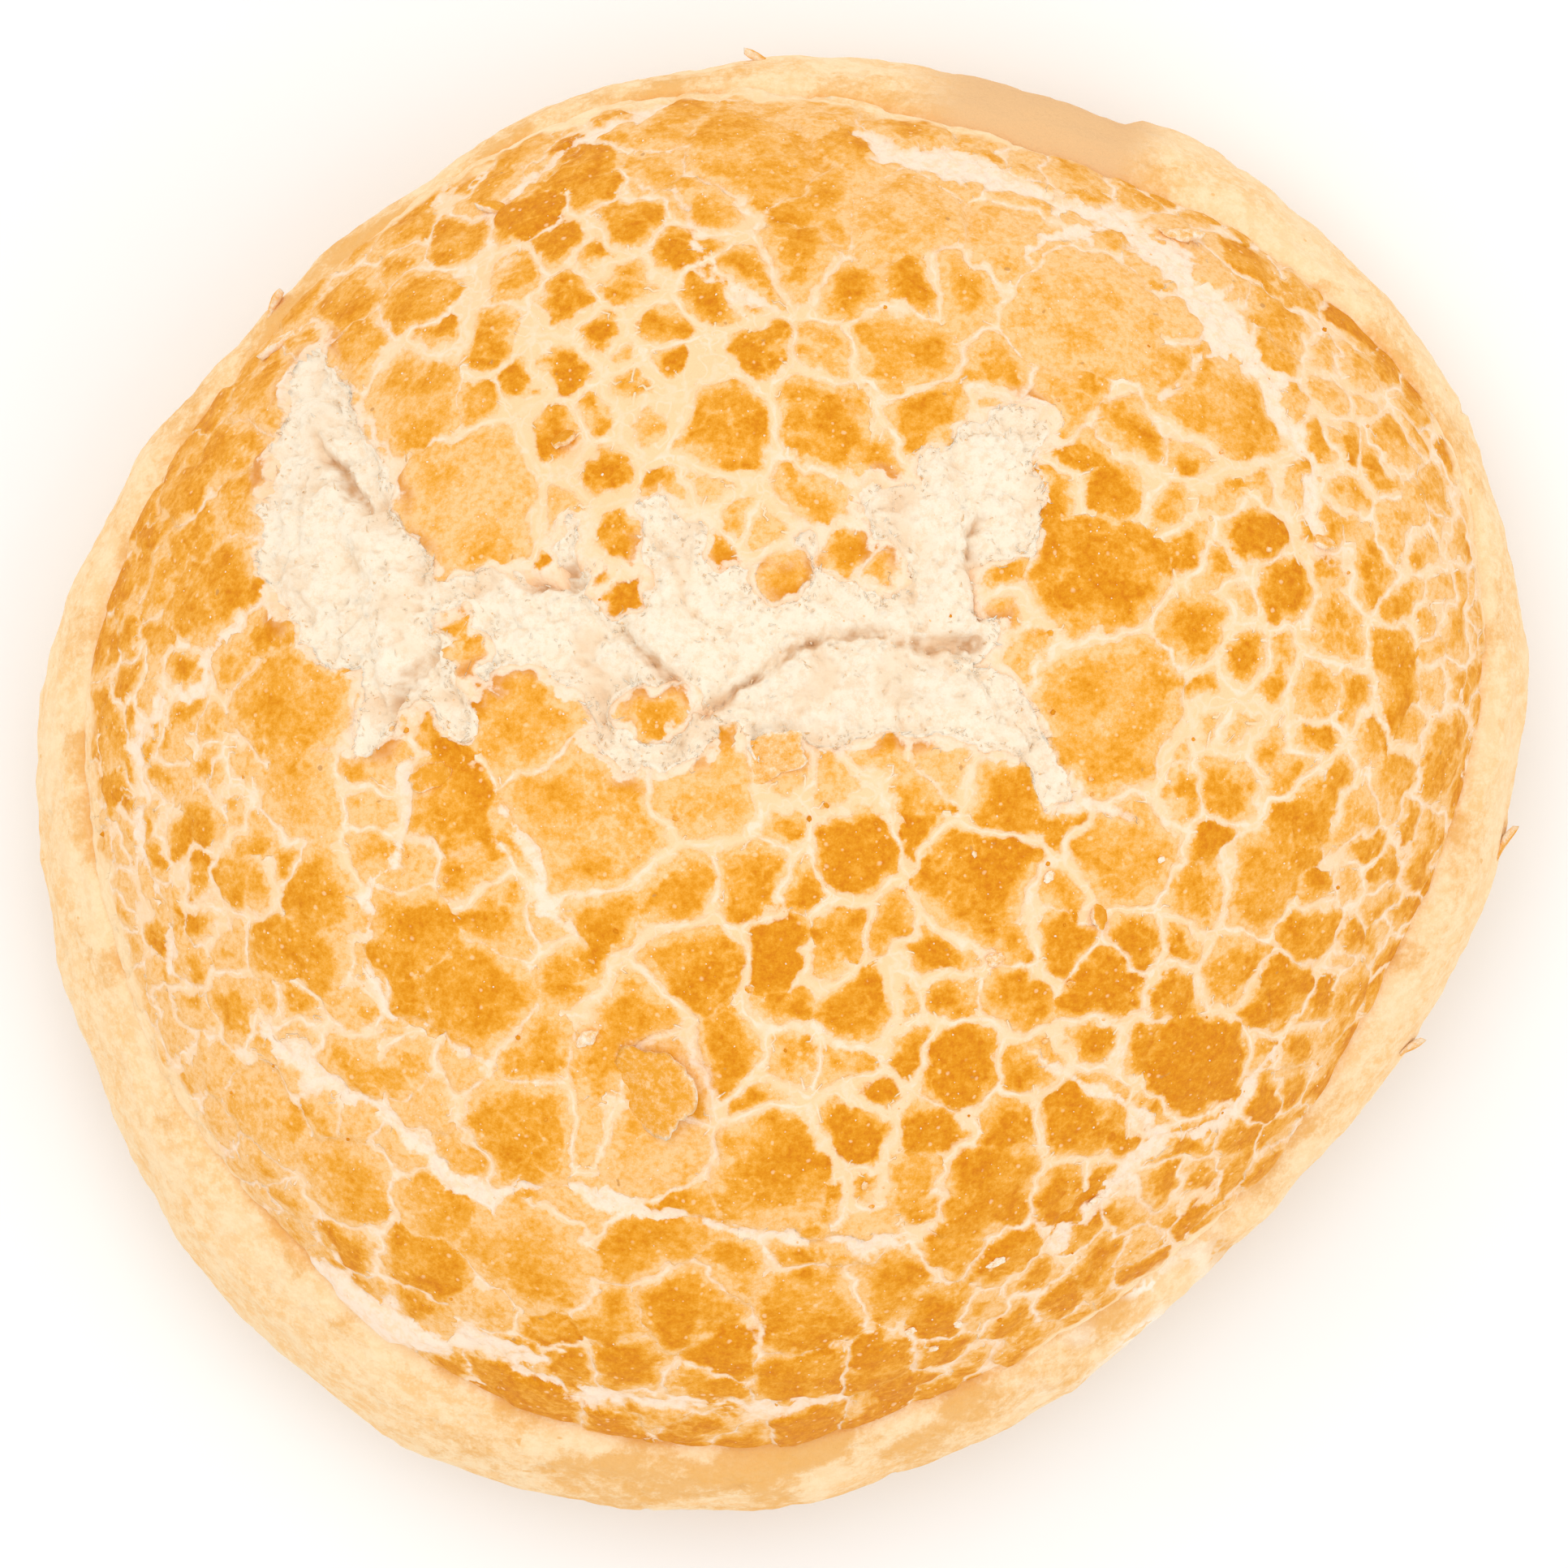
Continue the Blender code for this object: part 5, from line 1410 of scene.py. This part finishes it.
def shreds_in_tears(shape, crust, scatter):
    """Shreds and tufts that stand up from the torn crumb and along the ragged edges of the crust."""
    draw = np.random.default_rng(scatter.seed)
    tries = 16 * scatter.shreds
    left, front, across, deep = TEAR_BOX
    x, y = draw.uniform(left, left + across, tries), draw.uniform(front, front + deep, tries)
    lumps = Lumps(crust.seed)
    tear = tear_distance(shape.on_dome(x, y), lumps)
    chance = np.where(tear < -0.8, 0.08, 1.0) * (tear < -0.05)
    chosen = np.flatnonzero(draw.uniform(size=tries) < chance)[:scatter.shreds]
    points, tear = surface_over(shape, crust, x[chosen], y[chosen])
    count = len(points)
    axes = frames_on(shape, points, draw.uniform(0.0, FULL_TURN, count))
    length = draw.uniform(0.2, 0.55, (count, 1))
    width = draw.uniform(0.10, 0.26, (count, 1))
    lean = draw.uniform(0.2, 1.3, (count, 1))
    form, faces = shred_form()
    sideways, crossways, up = form.T[:, None]
    sunk = 0.15
    local = [sideways * width + lean * length * up ** 2, crossways * width * 1.6, up * length - sunk]
    forms = points[:, None] + np.stack(local, axis=2) @ axes
    tone = np.repeat(draw.uniform(0.0, 0.10, count), len(form))
    return scatter_piece("crumb_shreds", forms, faces, {"tone": tone})


def dust_on_crust(shape, crust, scatter, name, count, sizes, tones):
    """Small grains that lie all over the crust."""
    draw = np.random.default_rng(scatter.seed + count)
    turn = draw.uniform(0.0, FULL_TURN, count)
    out = np.sqrt(draw.uniform(0.0, 0.98, count))
    radius = out * shape.edge_radius(turn)
    points, _ = surface_over(shape, crust, radius * np.cos(turn), radius * np.sin(turn))
    axes = frames_on(shape, points, draw.uniform(0.0, FULL_TURN, count))
    ball, faces = lump_form(1)
    rough = draw.uniform(0.65, 1.2, (count, len(ball), 1))
    size = draw.uniform(*sizes, (count, 1, 1)) * draw.uniform(0.6, 1.0, (count, 1, 3)) / 2.0
    forms = points[:, None] + (ball[None] * rough * size) @ axes
    tone = np.repeat(draw.uniform(*tones, count), len(ball))
    return scatter_piece(name, forms, faces, {"tone": tone})


class BREAD_OT_flakes(bpy.types.Operator):
    """Makes the lifted flakes of crust and the loose crumbs"""

    bl_idname = "bread.flakes"
    bl_label = "Flakes and Loose Crumbs"

    def execute(self, context):
        shape, crust = roll_and_crust(context)
        material = flake_material(crust)
        finish_piece(flake_forms(shape, crust), material)
        finish_piece(crumb_lumps(shape, crust), material)
        return {"FINISHED"}


class BREAD_OT_scatter(bpy.types.Operator):
    """Makes the shreds of crumb, the grains of flour and the bits of crust"""

    bl_idname = "bread.scatter"
    bl_label = "Shreds and Grains"

    def execute(self, context):
        shape, crust = roll_and_crust(context)
        scatter = context.scene.roll_scatter
        material = flake_material(crust)
        finish_piece(shreds_in_tears(shape, crust, scatter), material)
        kinds = (("flour_grains", scatter.grains, (0.10, 0.26), (0.0, 0.2)),
                 ("crust_bits", scatter.bits, (0.30, 0.70), (0.1, 0.9)))
        for kind in kinds:
            finish_piece(dust_on_crust(shape, crust, scatter, *kind), material)
        return {"FINISHED"}


class BREAD_OT_stage(bpy.types.Operator):
    """Makes the plain floor, the soft lights and the camera over the roll"""

    bl_idname = "bread.stage"
    bl_label = "Stage"

    def execute(self, context):
        stage = context.scene.roll_stage
        form = context.scene.roll_form
        add_floor(stage)
        add_sky(stage.sky)
        add_lamp("key light", KEY_PLACE, stage.key)
        add_lamp("fill light", FILL_PLACE, stage.fill)
        add_camera(stage, form.bulge_height)
        context.scene.view_settings.view_transform = "Standard"
        return {"FINISHED"}


def add_floor(stage):
    """A large plain floor just under the roll."""
    half = stage.floor_size / 2
    mesh = bpy.data.meshes.new("floor")
    corners = [(-half, -half, 0.0), (half, -half, 0.0), (half, half, 0.0), (-half, half, 0.0)]
    mesh.from_pydata(corners, [], [(0, 1, 2, 3)])
    floor = bpy.data.objects.new("floor", mesh)
    bpy.context.scene.collection.objects.link(floor)
    graph = Graph("floor")
    graph.shader.inputs["Base Color"].default_value = full(stage.floor)
    graph.shader.inputs["Roughness"].default_value = 0.9
    mesh.materials.append(graph.material)


def add_sky(strength):
    """White light from all round, as in a light tent: stronger from the sides than from straight above."""
    world = bpy.data.worlds.new("studio")
    world.use_nodes = True
    tree = world.node_tree
    background = tree.nodes["Background"]
    background.inputs["Color"].default_value = (1.0, 1.0, 1.0, 1.0)
    place = tree.nodes.new("ShaderNodeTexCoord")
    axes = tree.nodes.new("ShaderNodeSeparateXYZ")
    tree.links.new(place.outputs["Generated"], axes.inputs[0])
    fall = tree.nodes.new("ShaderNodeMapRange")
    tree.links.new(axes.outputs[2], fall.inputs["Value"])
    fall.inputs["To Min"].default_value = SKY_STRENGTHS[0] * strength
    fall.inputs["To Max"].default_value = SKY_STRENGTHS[1] * strength
    tree.links.new(fall.outputs[0], background.inputs["Strength"])
    bpy.context.scene.world = world


def add_lamp(name, place, watts):
    """A square soft light at a place, turned to the roll."""
    lamp = bpy.data.lights.new(name, "AREA")
    lamp.size = LAMP_SIZE
    lamp.energy = watts
    light = bpy.data.objects.new(name, lamp)
    light.location = place
    away = light.location.normalized()
    light.rotation_euler = away.to_track_quat("Z", "Y").to_euler()
    bpy.context.scene.collection.objects.link(light)


def add_camera(stage, outline_height):
    """The camera straight over the roll, looking down with the back of the roll at the picture's top."""
    camera = bpy.data.cameras.new("camera")
    camera.sensor_width = 36.0
    camera.lens = camera.sensor_width * stage.camera_height / stage.view_width
    camera.dof.use_dof = False
    eye = bpy.data.objects.new("camera", camera)
    eye.location = (0.0, 0.0, stage.camera_height + outline_height)
    bpy.context.scene.collection.objects.link(eye)
    bpy.context.scene.camera = eye


class BREAD_PT_roll(bpy.types.Panel):
    """Lists the roll's settings and the steps that make it"""

    bl_idname = "BREAD_PT_roll"
    bl_label = "Tiger Bread Roll"
    bl_space_type = "VIEW_3D"
    bl_region_type = "UI"
    bl_category = "Bread"

    def draw(self, context):
        for name, operators in STEPS:
            box = self.layout.box()
            settings = getattr(context.scene, name)
            for field in settings.__annotations__:
                box.prop(settings, field)
            for operator in operators:
                box.operator(operator)


STEPS = (
    ("roll_form", ("bread.dough",)),
    ("roll_crust", ("bread.crust", "bread.crumb")),
    ("roll_dough", ()),
    ("roll_scatter", ("bread.flakes", "bread.scatter")),
    ("roll_stage", ("bread.stage",)),
)
SETTINGS = {
    "roll_form": RollFormSettings,
    "roll_crust": CrustSettings,
    "roll_dough": DoughSettings,
    "roll_scatter": ScatterSettings,
    "roll_stage": StageSettings,
}
OPERATORS = (BREAD_OT_dough, BREAD_OT_crust, BREAD_OT_crumb, BREAD_OT_flakes, BREAD_OT_scatter,
             BREAD_OT_stage)


def register():
    """Adds the settings, the operators and the panel."""
    for name, group in SETTINGS.items():
        bpy.utils.register_class(group)
        setattr(bpy.types.Scene, name, PointerProperty(type=group))
    for operator in OPERATORS:
        bpy.utils.register_class(operator)
    bpy.utils.register_class(BREAD_PT_roll)


def unregister():
    """Takes the panel, the operators and the settings away again."""
    bpy.utils.unregister_class(BREAD_PT_roll)
    for operator in reversed(OPERATORS):
        bpy.utils.unregister_class(operator)
    for name, group in reversed(SETTINGS.items()):
        delattr(bpy.types.Scene, name)
        bpy.utils.unregister_class(group)


def main():
    """Registers the classes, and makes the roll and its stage."""
    register()
    bpy.ops.bread.dough()
    bpy.ops.bread.crust()
    bpy.ops.bread.crumb()
    bpy.ops.bread.flakes()
    bpy.ops.bread.scatter()
    bpy.ops.bread.stage()


if __name__ == "__main__":
    main()
